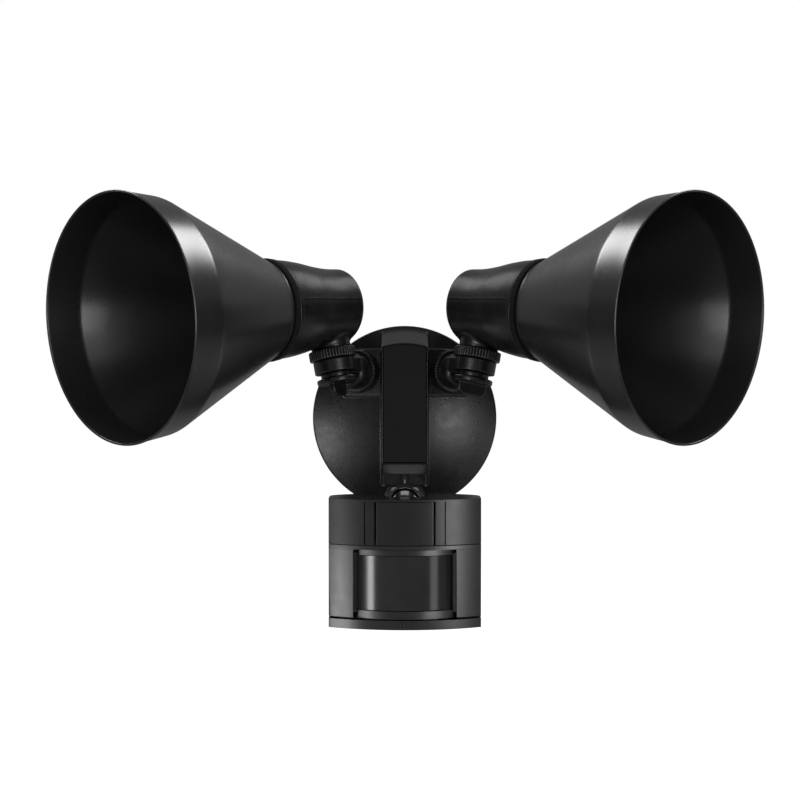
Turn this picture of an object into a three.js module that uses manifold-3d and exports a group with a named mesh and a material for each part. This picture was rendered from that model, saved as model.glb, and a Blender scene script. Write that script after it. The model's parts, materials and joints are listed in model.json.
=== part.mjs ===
// Wall floodlight with two bell shades on swivel arms and a motion sensor head on a ball joint.
// Every sub-part is a separate closed solid. Millimetres: the origin is the centre of the canopy's
// back on the wall, +X is to the right, -Y points out of the wall and +Z is up.
import * as THREE from 'three';
import { mergeVertices } from 'three/addons/utils/BufferGeometryUtils.js';
import Module from 'manifold-3d';

const wasm = await Module();
wasm.setup();

const DEG = Math.PI / 180;
const GAP = 0.3; // clearance between neighbouring parts

// Canopy. Heights are measured out from the wall.
const CANOPY_R = 57.15;
const CANOPY_BACK = 3;
const CANOPY_RIM = 5;
const DOME_TOP = 14;
const DOME_RINGS = 5;
const CASTING = 2.5; // wall thickness of the casting
const BLOCK_FRONT = 30;
const BLOCK_TOP_R = 45.7; // radius of the tapered block top at its front
const BAR_HALF = 14.3;
const BAR_LOW = -28;
const CEILING = -34.7; // roof of the pocket that the ball stud comes out of
const CHAMFER_DEPTH = 24;
const CHEEK_LOW = -40.5;
const CHEEK_DEPTH = 11.5;
const CHEEK_TOE = -51; // where the cheeks meet the canopy's rim
const POCKET_HALF = 12;
const POCKET_FLOOR = 9;
const SHOULDER_LOW = 13.4;
const SHOULDER_HIGH = 42.3;
const SHOULDER_END = 37.5;
const COVER_HALF = 13;
const COVER_THICK = 1.5;
const BOSS_R = 8.5;
const BOLT_R = 2.5;
const BOLT_HEAD_R = 5.5;
const BOLT_SEAT = 20;
const STRAP_LENGTH = 90;
const STRAP_WIDTH = 19;
const STRAP_THICK = 1.6;
const STRAP_SLOT_X = 32;
const GROUND_X = 14;
const GROUND_R = 1.7;
const SEAL_WIDTH = 7;

// Arms. The arm axis leaves a shoulder face sideways, and the lamp stem leans on it.
const NUT_X = 26.6;
const NUT_OUT = 20;
const NUT_Z = 28.5;
const ARM_YAW = 25 * DEG;
const ARM_LEAN = 11.5 * DEG;
const ARM_LENGTH = 35.5; // shoulder face to swivel axis
const ARM_R = 11;
const THREAD_R = 10;
const ARM_END = 21.2;
const NUT_R = 13.1;
const NUT_HEIGHT = 8.4;
const RIBS = 32;
const RIB_DEPTH = 0.9;
const THREAD_REACH = 7; // how far the threads go into the canopy
const BORE_R = 6; // way for the wires
const LUG_R = 12.3;
const LUG_LOW = -1.2;
const LUG_HIGH = 6.6;
const WIRE_R = 3.2;

// Swivel stack, measured along the stem from the arm axis.
const WASHER_R = 9;
const FLANGE_R = 11.9;
const FLANGE_TOP = -4.4;
const FLANGE_LOW = -7.5;
const WING_WIDTH = 18.4;
const WING_HEIGHT = 7.8;
const WING_THICK = 3.2;
const WING_CORNER = 4;
const SCREW_R = 2.4;
const STEM_NUT_R = 14;
const STEM_NUT_HEIGHT = 6;
const STEM_R = 11.8;
const STEM_LENGTH = 39; // arm axis to lamp axis
const STEM_FLOOR = 3;
const STEM_TOP = -12; // where the stem runs into the holder, below the lamp axis

// Lamp. Distances run forward from the stem axis along the lamp axis.
const LAMP_TURN = 21.9 * DEG; // outward turn of the lamp from the arm axis
const HOLDER_REAR = -14;
const HOLDER_REAR_R = 22.3;
const HOLDER_LIP = 43.5;
const HOLDER_LIP_R = 29.9;
const HOLDER_WALL = 2.4;
const GASKET_THICK = 3.4;
const NECK = HOLDER_LIP + GASKET_THICK + 2 * GAP;
const NECK_R = 29.3;
const CREASE = 129.2;
const CREASE_R = 66.9;
const MOUTH = 150.3;
const MOUTH_R = 69.6;
const SHEET = 1.1;
const SOCKET_R = 18.5;
const SOCKET_BACK = -9;
const SOCKET_FLOOR = 16;
const SOCKET_FRONT = NECK + 6;
const SHELL_R = 13.9; // outside of the screw shell of a medium lamp base

// Sensor head, measured from the centre of its ball.
const BALL_Z = -50.6;
const BALL_OUT = 33;
const BALL_R = 10.4;
const LINER_R = 11.6;
const COLLAR_R = 13.1;
const COLLAR_FLANGE_R = 16.8;
const WINDOW_R = 9.6; // opening at the front of the collar
const LINER_NOTCH_LOW = 5.4;
const STUD_R = 2.8;
const STUD_BASE_OUT = 20.5;
const STUD_LENGTH = 33;
const STUD_NUT_LOW = 28;
const HEAD_TILT = 2 * DEG;
const HEAD_HALF = 45.6;
const HEAD_FRONT = 34;
const HEAD_BULGE = 13;
const HEAD_BACK = 16;
const HEAD_SIDE_END = -2; // where the straight sides end
const HEAD_BACK_HALF = 22;
const HEAD_TOP = 3.7;
const SEAM = -23.4;
const COVER_SEAM = -67.6;
const HEAD_BOTTOM = -73.6;
const SLANT = 14 * DEG; // lean of the lower back wall
const WALL = 2.2;
const FLANGE_BASE = -1; // underside of the collar's flange
const RETAINER_LOW = -3.6;
const RETAINER_X = 21; // screws of the retainer
const RETAINER_HALF = 26;
const NOTCH_LOW = 0.8;
const NOTCH_HALF = 10.5;
const GROOVE_TOP = HEAD_TOP - 1.2;
const LINE_X = 23.9;
const PANEL_HALF = 16.9;
const FRAME_HALF = 30.6;
const FRAME_TOP = -26.4;
const FRAME_RADIUS = 50;
const FRAME_FRONT = -33.4;
const FRAME_DEPTH = 2.6;
const LENS_HALF = 27.2;
const LENS_TOP = -29.9;
const LENS_LOW = -62.4;
const LENS_RADIUS = 44.4;
const LENS_THICK = 1.2;
const LENS_STEP = 4;
const BOARD = 1.6; // thickness of a circuit board
const BOARD_FRONT = -14.6;
const POWER_FRONT = -19;
const CONTROL_Y = -12.5; // row of the dial and the switch under the head
const DIAL_X = 14;
const DIAL_R = 4.8;
const SWITCH_X = -11.6;
const SWITCH_HALF = 2;
const SWITCH_TRAVEL = 8;

const FINE = 36; // facets of the large round parts
const ROUND = 18; // facets of the small round parts

function paint(color, roughness, metalness) {
  return new THREE.MeshStandardMaterial({ color, roughness, metalness });
}

const blackPaint = paint(0x101010, 0.35, 0.2);
const blackCast = paint(0x121212, 0.45, 0.3);
const blackPlastic = paint(0x1c1c1c, 0.55, 0);
const glossPlastic = paint(0x0c0c0c, 0.2, 0);
const lensPlastic = paint(0x202022, 0.3, 0);
const sealRubber = paint(0x0a0a0a, 0.9, 0);
const zinc = paint(0xb0b0ac, 0.4, 0.9);
const brass = paint(0xb59a54, 0.4, 0.9);
const aluminium = paint(0xa8aaac, 0.35, 0.9);
const porcelain = paint(0xe6e3da, 0.3, 0);
const boardGreen = paint(0x1f4a2c, 0.6, 0);
const greenZinc = paint(0x2f7a3c, 0.4, 0.7);

// ---------- geometry helpers ----------

// Merges a geometry's vertices, drops flat triangles and turns its faces outward.
function clean(geometry) {
  const bare = new THREE.BufferGeometry();
  bare.setAttribute('position', geometry.getAttribute('position').clone());
  if (geometry.index) bare.setIndex(geometry.index.clone());
  const merged = mergeVertices(bare, 1e-4);
  const from = merged.index.array;
  const index = [];
  for (let i = 0; i < from.length; i += 3) {
    const [a, b, c] = [from[i], from[i + 1], from[i + 2]];
    if (a !== b && b !== c && c !== a) index.push(a, b, c);
  }
  if (signedVolume(merged.getAttribute('position'), index) < 0) index.reverse();
  merged.setIndex(index);
  return merged;
}

function signedVolume(position, index) {
  const a = new THREE.Vector3();
  const b = new THREE.Vector3();
  const c = new THREE.Vector3();
  let volume = 0;
  for (let i = 0; i < index.length; i += 3) {
    a.fromBufferAttribute(position, index[i]);
    b.fromBufferAttribute(position, index[i + 1]);
    c.fromBufferAttribute(position, index[i + 2]);
    volume += a.dot(b.cross(c)) / 6;
  }
  return volume;
}

function toSolid(geometry) {
  const tidy = clean(geometry);
  const vertProperties = new Float32Array(tidy.getAttribute('position').array);
  const triVerts = new Uint32Array(tidy.index.array);
  return new wasm.Manifold(new wasm.Mesh({ numProp: 3, vertProperties, triVerts }));
}

function toGeometry(body) {
  const mesh = body.getMesh();
  const positions = new Float32Array(mesh.vertProperties);
  const geometry = new THREE.BufferGeometry();
  geometry.setAttribute('position', new THREE.BufferAttribute(positions, 3));
  geometry.setIndex(new THREE.BufferAttribute(new Uint32Array(mesh.triVerts), 1));
  return geometry;
}

const combine = (pieces, how) => toGeometry(pieces.map(toSolid).reduce((a, b) => a[how](b)));
const join = (...pieces) => combine(pieces, 'add');
const cut = (base, ...tools) => combine([base, ...tools], 'subtract');
const common = (...pieces) => combine(pieces, 'intersect');

// A solid of revolution about Z from [radius, height] points. A profile off the axis closes on itself.
function turned(profile, facets = ROUND) {
  const points = profile.map(([r, z]) => new THREE.Vector2(r, z));
  const onAxis = profile[0][0] === 0 && profile[profile.length - 1][0] === 0;
  if (!onAxis) points.push(points[0].clone());
  return new THREE.LatheGeometry(points, facets).rotateX(Math.PI / 2);
}

function disc(radius, low, high, facets = ROUND) {
  return turned([[0, low], [radius, low], [radius, high], [0, high]], facets);
}

function ring(outer, inner, low, high, facets = ROUND) {
  return turned([[inner, low], [outer, low], [outer, high], [inner, high]], facets);
}

// A box from its low corner to its high corner.
function block(low, high) {
  const size = high.map((value, i) => value - low[i]);
  const middle = high.map((value, i) => (value + low[i]) / 2);
  return new THREE.BoxGeometry(...size).translate(...middle);
}

// A flat outline of [x, y] points pulled along Z.
function prism(points, low, high) {
  const shape = new THREE.Shape(points.map(([x, y]) => new THREE.Vector2(x, y)));
  const options = { depth: high - low, bevelEnabled: false };
  return new THREE.ExtrudeGeometry(shape, options).translate(0, 0, low);
}

// A ring with straight ribs round its edge.
function knurled(outer, inner, low, high) {
  const outline = [];
  for (let i = 0; i < 2 * RIBS; i += 1) {
    const radius = i % 2 ? outer - RIB_DEPTH : outer;
    const angle = (i / RIBS) * Math.PI;
    outline.push(new THREE.Vector2(radius * Math.cos(angle), radius * Math.sin(angle)));
  }
  const shape = new THREE.Shape(outline);
  shape.holes.push(new THREE.Path().absarc(0, 0, inner, 0, 2 * Math.PI));
  const options = { depth: high - low, bevelEnabled: false, curveSegments: ROUND };
  return new THREE.ExtrudeGeometry(shape, options).translate(0, 0, low);
}

// Points of an arc as [x, y] pairs.
function arc(cx, cy, radius, from, to, steps) {
  const points = [];
  for (let i = 0; i <= steps; i += 1) {
    const angle = from + ((to - from) * i) / steps;
    points.push([cx + radius * Math.cos(angle), cy + radius * Math.sin(angle)]);
  }
  return points;
}

// Points of a circle arc between two angles in degrees from the pole, for a turned profile.
function poleArc(radius, from, to, steps = 5) {
  const profile = [];
  for (let i = 0; i <= steps; i += 1) {
    const angle = (from + ((to - from) * i) / steps) * DEG;
    profile.push([radius * Math.sin(angle), radius * Math.cos(angle)]);
  }
  return profile;
}

const alongY = (geometry) => geometry.rotateX(-Math.PI / 2); // local Z to +Y
const sixSided = (radius, low, high) => disc(radius, low, high, 6);
const bothSides = (make) => [-1, 1].map(make);

function frameIn(parent, position = [0, 0, 0], rotation = [0, 0, 0]) {
  const group = new THREE.Group();
  group.position.set(...position);
  group.rotation.set(...rotation);
  parent.add(group);
  return group;
}

function addPart(parent, name, geometry, material) {
  const mesh = new THREE.Mesh(clean(geometry), material);
  mesh.name = name;
  parent.add(mesh);
}

// ---------- canopy: X right, Y up, Z out of the wall ----------

// Low dome of the canopy, or the hollow inside it.
function dome(inset) {
  const radius = CANOPY_R - inset;
  const low = inset > 0 ? CANOPY_BACK - 1 : CANOPY_BACK;
  const rise = DOME_TOP - CANOPY_RIM;
  const profile = [[0, low], [radius, low]];
  for (let i = DOME_RINGS; i >= 0; i -= 1) {
    const r = (radius * i) / DOME_RINGS;
    profile.push([r, CANOPY_RIM + rise * (1 - (r / CANOPY_R) ** 2) - inset]);
  }
  return turned(profile, FINE);
}

// The cone that the block's top follows, from the canopy's edge to the block's front.
function taper(inset) {
  const low = [CANOPY_R - inset, 0];
  const high = [BLOCK_TOP_R - inset, BLOCK_FRONT];
  return turned([[0, 0], low, high, [0, BLOCK_FRONT]], FINE);
}

// Upright centre bar, or the hollow inside it. The outline is in Y and Z and is pulled along X.
function bar(half, front, lowerEnd) {
  const outline = [[CANOPY_R, CANOPY_BACK], [CANOPY_R, front], [BAR_LOW, front], ...lowerEnd];
  const pulled = prism(outline, -half, half);
  const axes = new THREE.Matrix4().makeBasis(
    new THREE.Vector3(0, 1, 0), new THREE.Vector3(0, 0, 1), new THREE.Vector3(1, 0, 0));
  return pulled.applyMatrix4(axes);
}

const cheekEnd = [[CEILING, CHAMFER_DEPTH], [CHEEK_LOW, CHEEK_DEPTH], [CHEEK_TOE, CANOPY_BACK]];
const roof = CEILING + CASTING;
const roofEnd = [[roof, CHAMFER_DEPTH - CASTING], [roof, CANOPY_BACK]];

// One shoulder: the outline is in X and Z, with the face square to the arm axis.
function shoulder(side, inset) {
  const faceHeight = (x) => NUT_OUT - (x - NUT_X) * Math.tan(ARM_YAW) - inset / Math.cos(ARM_YAW);
  const near = BAR_HALF - CASTING - 1;
  const end = SHOULDER_END - inset;
  const low = CANOPY_BACK;
  const outline = [[near, low], [near, faceHeight(near)], [end, faceHeight(end)], [end, low]];
  const placed = outline.map(([x, z]) => [side * x, z]);
  return prism(placed, -(SHOULDER_HIGH - inset), -(SHOULDER_LOW + inset)).rotateX(Math.PI / 2);
}

// The centre bar and both shoulders, cut to one taper.
function raisedBlock(upright, inset) {
  return common(join(upright, shoulder(-1, inset), shoulder(1, inset)), taper(inset));
}

const studDirection = new THREE.Vector3(0, CEILING - BALL_Z, STUD_BASE_OUT - BALL_OUT).normalize();

function alongStud(geometry) {
  const turn = new THREE.Quaternion().setFromUnitVectors(new THREE.Vector3(0, 0, 1), studDirection);
  return geometry.applyQuaternion(turn).translate(0, BALL_Z, BALL_OUT);
}

function intoArm(geometry, side) {
  return geometry.rotateY(side * ARM_YAW).translate(side * NUT_X, NUT_Z, NUT_OUT);
}

// The plate let into the front of the bar, grown by a clearance for its seat.
function coverPlate(grow) {
  const low = [-COVER_HALF - grow, BAR_LOW + 1 - grow, BLOCK_FRONT - COVER_THICK - grow];
  const plate = block(low, [COVER_HALF + grow, CANOPY_R, BLOCK_FRONT]);
  return common(plate, disc(BLOCK_TOP_R - 1 + grow, 0, BLOCK_FRONT + 1, FINE));
}

function canopy() {
  const outside = join(dome(0), raisedBlock(bar(BAR_HALF, BLOCK_FRONT, cheekEnd), 0));
  const barHollow = bar(BAR_HALF - CASTING, BLOCK_FRONT - COVER_THICK - CASTING, roofEnd);
  const hollow = join(dome(CASTING), raisedBlock(barHollow, CASTING));
  const boss = disc(BOSS_R, BOLT_SEAT - CASTING, BLOCK_FRONT - COVER_THICK - 0.5);
  const pocket = block([-POCKET_HALF, -CANOPY_R, POCKET_FLOOR], [POCKET_HALF, CEILING, BLOCK_FRONT]);
  const boltSeat = disc(BOLT_HEAD_R + 1, BOLT_SEAT, BLOCK_FRONT);
  const boltHole = disc(BOLT_R + GAP, 0, BLOCK_FRONT);
  const armHoles = bothSides((side) => intoArm(disc(THREAD_R + GAP, -8, 4), side));
  const studHole = alongStud(disc(STUD_R + GAP, BALL_R, STUD_LENGTH + 1));
  const holes = [pocket, coverPlate(GAP), boltSeat, boltHole, ...armHoles, studHole];
  return cut(join(cut(outside, hollow), boss), ...holes);
}

function wallGasket() {
  return ring(CANOPY_R - 1, CANOPY_R - 1 - SEAL_WIDTH, 0, CANOPY_BACK - GAP, FINE);
}

function mountingStrap() {
  const half = STRAP_LENGTH / 2;
  const top = GAP + STRAP_THICK;
  const plate = block([-half, -STRAP_WIDTH / 2, GAP], [half, STRAP_WIDTH / 2, top]);
  const slot = (side) => block([-9, -2.2, 0], [9, 2.2, top + 1]).translate(side * STRAP_SLOT_X, 0, 0);
  const groundHole = disc(GROUND_R + GAP, 0, top + 1).translate(GROUND_X, 0, 0);
  return cut(plate, disc(BOLT_R + GAP, 0, top + 1), ...bothSides(slot), groundHole);
}

function centerBolt() {
  const head = sixSided(BOLT_HEAD_R, BOLT_SEAT + GAP, BOLT_SEAT + GAP + 4);
  return join(head, disc(BOLT_R, GAP, BOLT_SEAT + 1));
}

function groundScrew() {
  const headLow = GAP + STRAP_THICK + GAP;
  const head = disc(4, headLow, headLow + 2.4);
  return join(head, disc(GROUND_R, GAP, headLow + 1)).translate(GROUND_X, 0, 0);
}

function ballStud() {
  const ball = new THREE.SphereGeometry(BALL_R, ROUND, 12);
  return alongStud(join(ball, disc(STUD_R, BALL_R - 4, STUD_LENGTH)));
}

function studNut() {
  const nut = sixSided(5, STUD_NUT_LOW, STUD_NUT_LOW + 3.6);
  return alongStud(cut(nut, disc(STUD_R + GAP, STUD_NUT_LOW - 1, STUD_LENGTH)));
}

function addCanopy(parent) {
  const frame = frameIn(parent, [0, 0, 0], [Math.PI / 2, 0, 0]);
  addPart(frame, 'canopy', canopy(), blackCast);
  addPart(frame, 'wall_gasket', wallGasket(), sealRubber);
  addPart(frame, 'spine_cover', coverPlate(0), blackCast);
  addPart(frame, 'mounting_strap', mountingStrap(), zinc);
  addPart(frame, 'center_bolt', centerBolt(), zinc);
  addPart(frame, 'ground_screw', groundScrew(), greenZinc);
  addPart(frame, 'ball_stud', ballStud(), blackCast);
  addPart(frame, 'stud_nut', studNut(), zinc);
}

// ---------- arm: Z along the arm axis, Y along the lamp stem ----------

// Turns a piece to stand along the stem and moves it out to the swivel axis.
const atSwivel = (geometry) => alongY(geometry).translate(0, 0, ARM_LENGTH);

function arm() {
  const collar = NUT_HEIGHT + 2 * GAP;
  const nose = [[ARM_R, ARM_END - 4], [ARM_R - 1.2, ARM_END - 1.2], [ARM_R - 4, ARM_END]];
  const thread = [[THREAD_R, -THREAD_REACH], [THREAD_R, collar], [ARM_R, collar]];
  const body = turned([[0, -THREAD_REACH], ...thread, ...nose, [0, ARM_END]]);
  const web = block([-ARM_R + 0.6, LUG_LOW, ARM_END - 8], [ARM_R - 0.6, LUG_HIGH, ARM_LENGTH]);
  const lug = atSwivel(disc(LUG_R, LUG_LOW, LUG_HIGH));
  const bore = disc(BORE_R, -THREAD_REACH - 1, ARM_END - 6);
  const wireWay = disc(2.6, ARM_END - 7, ARM_LENGTH).translate(0, (LUG_LOW + LUG_HIGH) / 2, 0);
  const swivelHole = atSwivel(disc(WIRE_R, LUG_LOW - 1, LUG_HIGH + 1));
  return cut(join(body, web, lug), bore, wireWay, swivelHole);
}

const armNut = () => knurled(NUT_R, THREAD_R + GAP, GAP, GAP + NUT_HEIGHT);

function thumbWasher() {
  return atSwivel(ring(WASHER_R, SCREW_R + GAP, FLANGE_TOP + GAP, LUG_LOW - GAP));
}

function thumbScrew(turn) {
  const shank = disc(SCREW_R, FLANGE_TOP - 1, LUG_HIGH + 9);
  const lowEdge = [[FLANGE_R - 1, FLANGE_LOW], [FLANGE_R, FLANGE_LOW + 1]];
  const topEdge = [[FLANGE_R, FLANGE_TOP - 0.6], [FLANGE_R - 0.6, FLANGE_TOP]];
  const flange = turned([[0, FLANGE_LOW], ...lowEdge, ...topEdge, [0, FLANGE_TOP]]);
  const root = [WING_WIDTH / 2, FLANGE_LOW + 1];
  const cornerX = WING_WIDTH / 2 - WING_CORNER;
  const cornerZ = FLANGE_LOW - WING_HEIGHT + WING_CORNER;
  const leftCorner = arc(-cornerX, cornerZ, WING_CORNER, Math.PI, 1.5 * Math.PI, 4);
  const rightCorner = arc(cornerX, cornerZ, WING_CORNER, 1.5 * Math.PI, 2 * Math.PI, 4);
  const outline = [[-root[0], root[1]], ...leftCorner, ...rightCorner, root];
  const wing = prism(outline, -WING_THICK / 2, WING_THICK / 2);
  return atSwivel(join(shank, flange, wing.rotateX(Math.PI / 2).rotateZ(turn)));
}

function stemNut() {
  const low = LUG_HIGH + GAP;
  return atSwivel(knurled(STEM_NUT_R, THREAD_R + GAP, low, low + STEM_NUT_HEIGHT));
}

function swivelNut() {
  const low = LUG_HIGH + GAP + STEM_FLOOR + GAP;
  return atSwivel(cut(sixSided(5, low, low + 4), disc(SCREW_R + GAP, low - 1, low + 5)));
}

// ---------- lamp: Z along the lamp axis, Y up the stem ----------

// The bell of the holder: a rounded back end, a waist and a flare up to the lip.
function holderOutside() {
  const back = [[0, HOLDER_REAR], [HOLDER_REAR_R - 3.5, HOLDER_REAR],
    [HOLDER_REAR_R - 1, HOLDER_REAR + 1], [HOLDER_REAR_R, HOLDER_REAR + 3.5]];
  const flare = [[23.1, 2], [24.6, 12], [26.6, 19], [28, 25.5], [29.1, 35]];
  const lip = [[HOLDER_LIP_R, HOLDER_LIP - 3], [HOLDER_LIP_R, HOLDER_LIP], [0, HOLDER_LIP]];
  return turned([...back, ...flare, ...lip], FINE);
}

function holderInside() {
  const wall = HOLDER_WALL;
  const back = [[HOLDER_REAR_R - wall, HOLDER_REAR + 4],
    [HOLDER_REAR_R - 4, HOLDER_REAR + wall], [0, HOLDER_REAR + wall]];
  const flare = [[28.8 - wall, 34], [26.4 - wall, 19], [23 - wall, 2]];
  const mouthR = HOLDER_LIP_R - 3;
  const mouth = [[0, HOLDER_LIP + 1], [mouthR, HOLDER_LIP + 1], [mouthR, HOLDER_LIP]];
  return turned([...mouth, ...flare, ...back], FINE);
}

function lampHolder() {
  const stemLow = LUG_HIGH + GAP - STEM_LENGTH;
  const nutTop = stemLow + STEM_NUT_HEIGHT + GAP;
  const stem = alongY(disc(STEM_R, nutTop, STEM_TOP));
  const thread = alongY(disc(THREAD_R, stemLow, STEM_TOP));
  const wireBore = alongY(disc(BORE_R, stemLow + STEM_FLOOR, STEM_TOP + 7));
  const screwHole = alongY(disc(WIRE_R, stemLow - 1, STEM_TOP));
  return cut(join(holderOutside(), stem, thread), holderInside(), wireBore, screwHole);
}

function holderGasket() {
  const low = HOLDER_LIP + GAP;
  return ring(HOLDER_LIP_R + 0.4, HOLDER_LIP_R - 5, low, low + GASKET_THICK, FINE);
}

// Spun sheet: a flat neck, a long cone, a crease and a short rim with a bead.
function shade() {
  const hole = SOCKET_R + 0.6;
  const floor = NECK + SHEET;
  const neckOut = [[hole, NECK], [NECK_R - 1, NECK], [NECK_R, NECK + 1], [NECK_R + 0.6, NECK + 2.6]];
  const creaseOut = [[CREASE_R - 1.2, CREASE - 2.4], [CREASE_R, CREASE + 0.6]];
  const bead = [[MOUTH_R - 0.2, MOUTH - 1.6], [MOUTH_R + 0.5, MOUTH - 0.8], [MOUTH_R + 0.3, MOUTH]];
  const mouthIn = [[MOUTH_R - SHEET, MOUTH], [MOUTH_R - SHEET - 0.3, MOUTH - 1.4]];
  const creaseIn = [[CREASE_R - SHEET, CREASE + 0.6], [CREASE_R - SHEET - 1.3, CREASE - 2]];
  const neckIn = [[NECK_R - 0.6, NECK + 3], [NECK_R - 1.6, floor], [hole, floor]];
  return turned([...neckOut, ...creaseOut, ...bead, ...mouthIn, ...creaseIn, ...neckIn], FINE);
}

function shadeRing() {
  const low = NECK + SHEET + GAP;
  return ring(SOCKET_R + 5, SOCKET_R + 0.4, low, low + 3);
}

function socketBody() {
  const base = SOCKET_R - 8;
  const well = SHELL_R + 0.6;
  const outside = [[0, SOCKET_BACK], [base, SOCKET_BACK], [base, 8], [SOCKET_R, 14]];
  const rim = [[SOCKET_R, SOCKET_FRONT], [well, SOCKET_FRONT]];
  const inside = [[well, SOCKET_FLOOR + 2], [well - 1.6, SOCKET_FLOOR], [0, SOCKET_FLOOR]];
  return turned([...outside, ...rim, ...inside]);
}

const screwShell = () => ring(SHELL_R, SHELL_R - 0.9, SOCKET_FLOOR + 2.4, SOCKET_FRONT - 1.5);

function centerContact() {
  const low = SOCKET_FLOOR + GAP;
  return turned([[0, low], [4.5, low], [4.5, low + 1], [3, low + 2.3], [0, low + 2.5]], 16);
}

function addLamp(parent, side, tag, wingTurn) {
  const shoulder = frameIn(parent, [side * NUT_X, -NUT_OUT, NUT_Z], [0, 0, side * ARM_YAW]);
  const socket = frameIn(shoulder, [0, 0, 0], [Math.PI / 2, 0, 0]);
  const armFrame = frameIn(socket, [0, 0, 0], [0, 0, -side * ARM_LEAN]);
  const lamp = frameIn(armFrame, [0, STEM_LENGTH, ARM_LENGTH], [0, side * LAMP_TURN, 0]);
  addPart(armFrame, `arm_${tag}`, arm(), blackCast);
  addPart(armFrame, `arm_nut_${tag}`, armNut(), blackCast);
  addPart(armFrame, `thumb_washer_${tag}`, thumbWasher(), zinc);
  addPart(armFrame, `thumb_screw_${tag}`, thumbScrew(wingTurn), blackCast);
  addPart(armFrame, `stem_nut_${tag}`, stemNut(), blackCast);
  addPart(armFrame, `swivel_nut_${tag}`, swivelNut(), zinc);
  addPart(lamp, `lamp_holder_${tag}`, lampHolder(), blackCast);
  addPart(lamp, `holder_gasket_${tag}`, holderGasket(), sealRubber);
  addPart(lamp, `shade_${tag}`, shade(), blackPaint);
  addPart(lamp, `shade_ring_${tag}`, shadeRing(), aluminium);
  addPart(lamp, `socket_body_${tag}`, socketBody(), porcelain);
  addPart(lamp, `screw_shell_${tag}`, screwShell(), aluminium);
  addPart(lamp, `center_contact_${tag}`, centerContact(), brass);
}

// ---------- sensor head: origin at the ball, world directions ----------

// Outline of the head seen from above, set in by a given amount. The front bulges towards -Y.
function headOutline(inset) {
  const side = HEAD_HALF - inset;
  const frontR = (HEAD_HALF ** 2 + HEAD_BULGE ** 2) / (2 * HEAD_BULGE);
  const centre = -HEAD_FRONT + frontR;
  const radius = frontR - inset;
  const reach = Math.asin(side / radius);
  const front = arc(0, centre, radius, -Math.PI / 2 - reach, -Math.PI / 2 + reach, 14);
  const back = HEAD_BACK - inset;
  const slope = inset * 0.45;
  const sideEnd = HEAD_SIDE_END - slope;
  const sideCorner = [[side, sideEnd], [side - 1.5, sideEnd + 4], [side - 4.5, sideEnd + 7.5]];
  const backCorner = [[HEAD_BACK_HALF + 3 - slope, back - 1.8], [HEAD_BACK_HALF - 2 - slope, back]];
  const right = [...sideCorner, ...backCorner];
  const left = right.map(([x, y]) => [-x, y]).reverse();
  return [...front, ...right, ...left];
}

// The head between two heights, solid, with its sides set in.
const headSolid = (inset, low, high) => prism(headOutline(inset), low, high);

// Space behind the leaning back wall of the lower housing.
function behindSlant(inset) {
  const wedge = block([-HEAD_HALF - 1, 0, HEAD_BOTTOM], [HEAD_HALF + 1, HEAD_BACK * 2, 0]);
  return wedge.rotateX(SLANT).translate(0, HEAD_BACK - inset, SEAM - 0.5);
}

// A groove of the given depth in the front face of the upper housing.
function frontGroove(middle, half, depth) {
  const slab = block([middle - half, -HEAD_FRONT - 1, SEAM - 1], [middle + half, 0, GROOVE_TOP]);
  return cut(slab, headSolid(depth, SEAM - 2, HEAD_TOP));
}

const atRetainerScrews = (make) => bothSides((side) => make().translate(side * RETAINER_X, 0, 0));

function upperHousing() {
  const under = HEAD_TOP - WALL;
  const shell = cut(headSolid(0, SEAM, HEAD_TOP), headSolid(WALL, SEAM - 1, under));
  const bosses = atRetainerScrews(() => disc(3.6, FLANGE_BASE, under + 0.5, 16));
  const holes = atRetainerScrews(() => disc(1.5, FLANGE_BASE - 1, under, 12));
  const panelSeat = frontGroove(0, PANEL_HALF + 0.7, 1.4);
  const lines = bothSides((side) => frontGroove(side * LINE_X, 0.25, 0.5));
  const ballHole = disc(COLLAR_R + GAP, FLANGE_BASE, HEAD_TOP + 1);
  const neckNotch = block([-NOTCH_HALF, 7, NOTCH_LOW], [NOTCH_HALF, HEAD_BACK + 1, HEAD_TOP + 1]);
  return cut(join(shell, ...bosses), panelSeat, ...lines, ballHole, neckNotch, ...holes);
}

function frontPanel() {
  const slab = block([-PANEL_HALF, -HEAD_FRONT - 1, SEAM], [PANEL_HALF, 0, GROOVE_TOP - GAP]);
  const skin = cut(headSolid(0.25, SEAM - 1, HEAD_TOP), headSolid(1.1, SEAM - 2, HEAD_TOP + 1));
  return common(slab, skin);
}

// Room behind the ball for its leaning neck as the head turns and tilts.
const neckSweep = (low) => prism([[0, -4], [20, 18], [-20, 18]], low, COLLAR_R + 2);

// Domed collar that closes over the ball, with a window at the front and a flange inside the head.
function ballCollar() {
  const shell = turned([...poleArc(COLLAR_R, 126, 44), ...poleArc(LINER_R + GAP, 44, 126)]);
  const flangeTop = HEAD_TOP - WALL - GAP;
  const flange = ring(COLLAR_FLANGE_R, COLLAR_R - 0.5, FLANGE_BASE, flangeTop);
  const trimmed = common(flange, headSolid(WALL + GAP, FLANGE_BASE - 1, HEAD_TOP));
  const window = disc(WINDOW_R, 4, COLLAR_FLANGE_R + 1).rotateX(Math.PI / 2).translate(0, 0, -1);
  return cut(join(shell, trimmed), window, neckSweep(NOTCH_LOW + 0.5));
}

function ballLiner() {
  const shell = turned([...poleArc(LINER_R, 124, 26), ...poleArc(BALL_R + GAP, 26, 124)]);
  return cut(shell, neckSweep(LINER_NOTCH_LOW));
}

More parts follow.
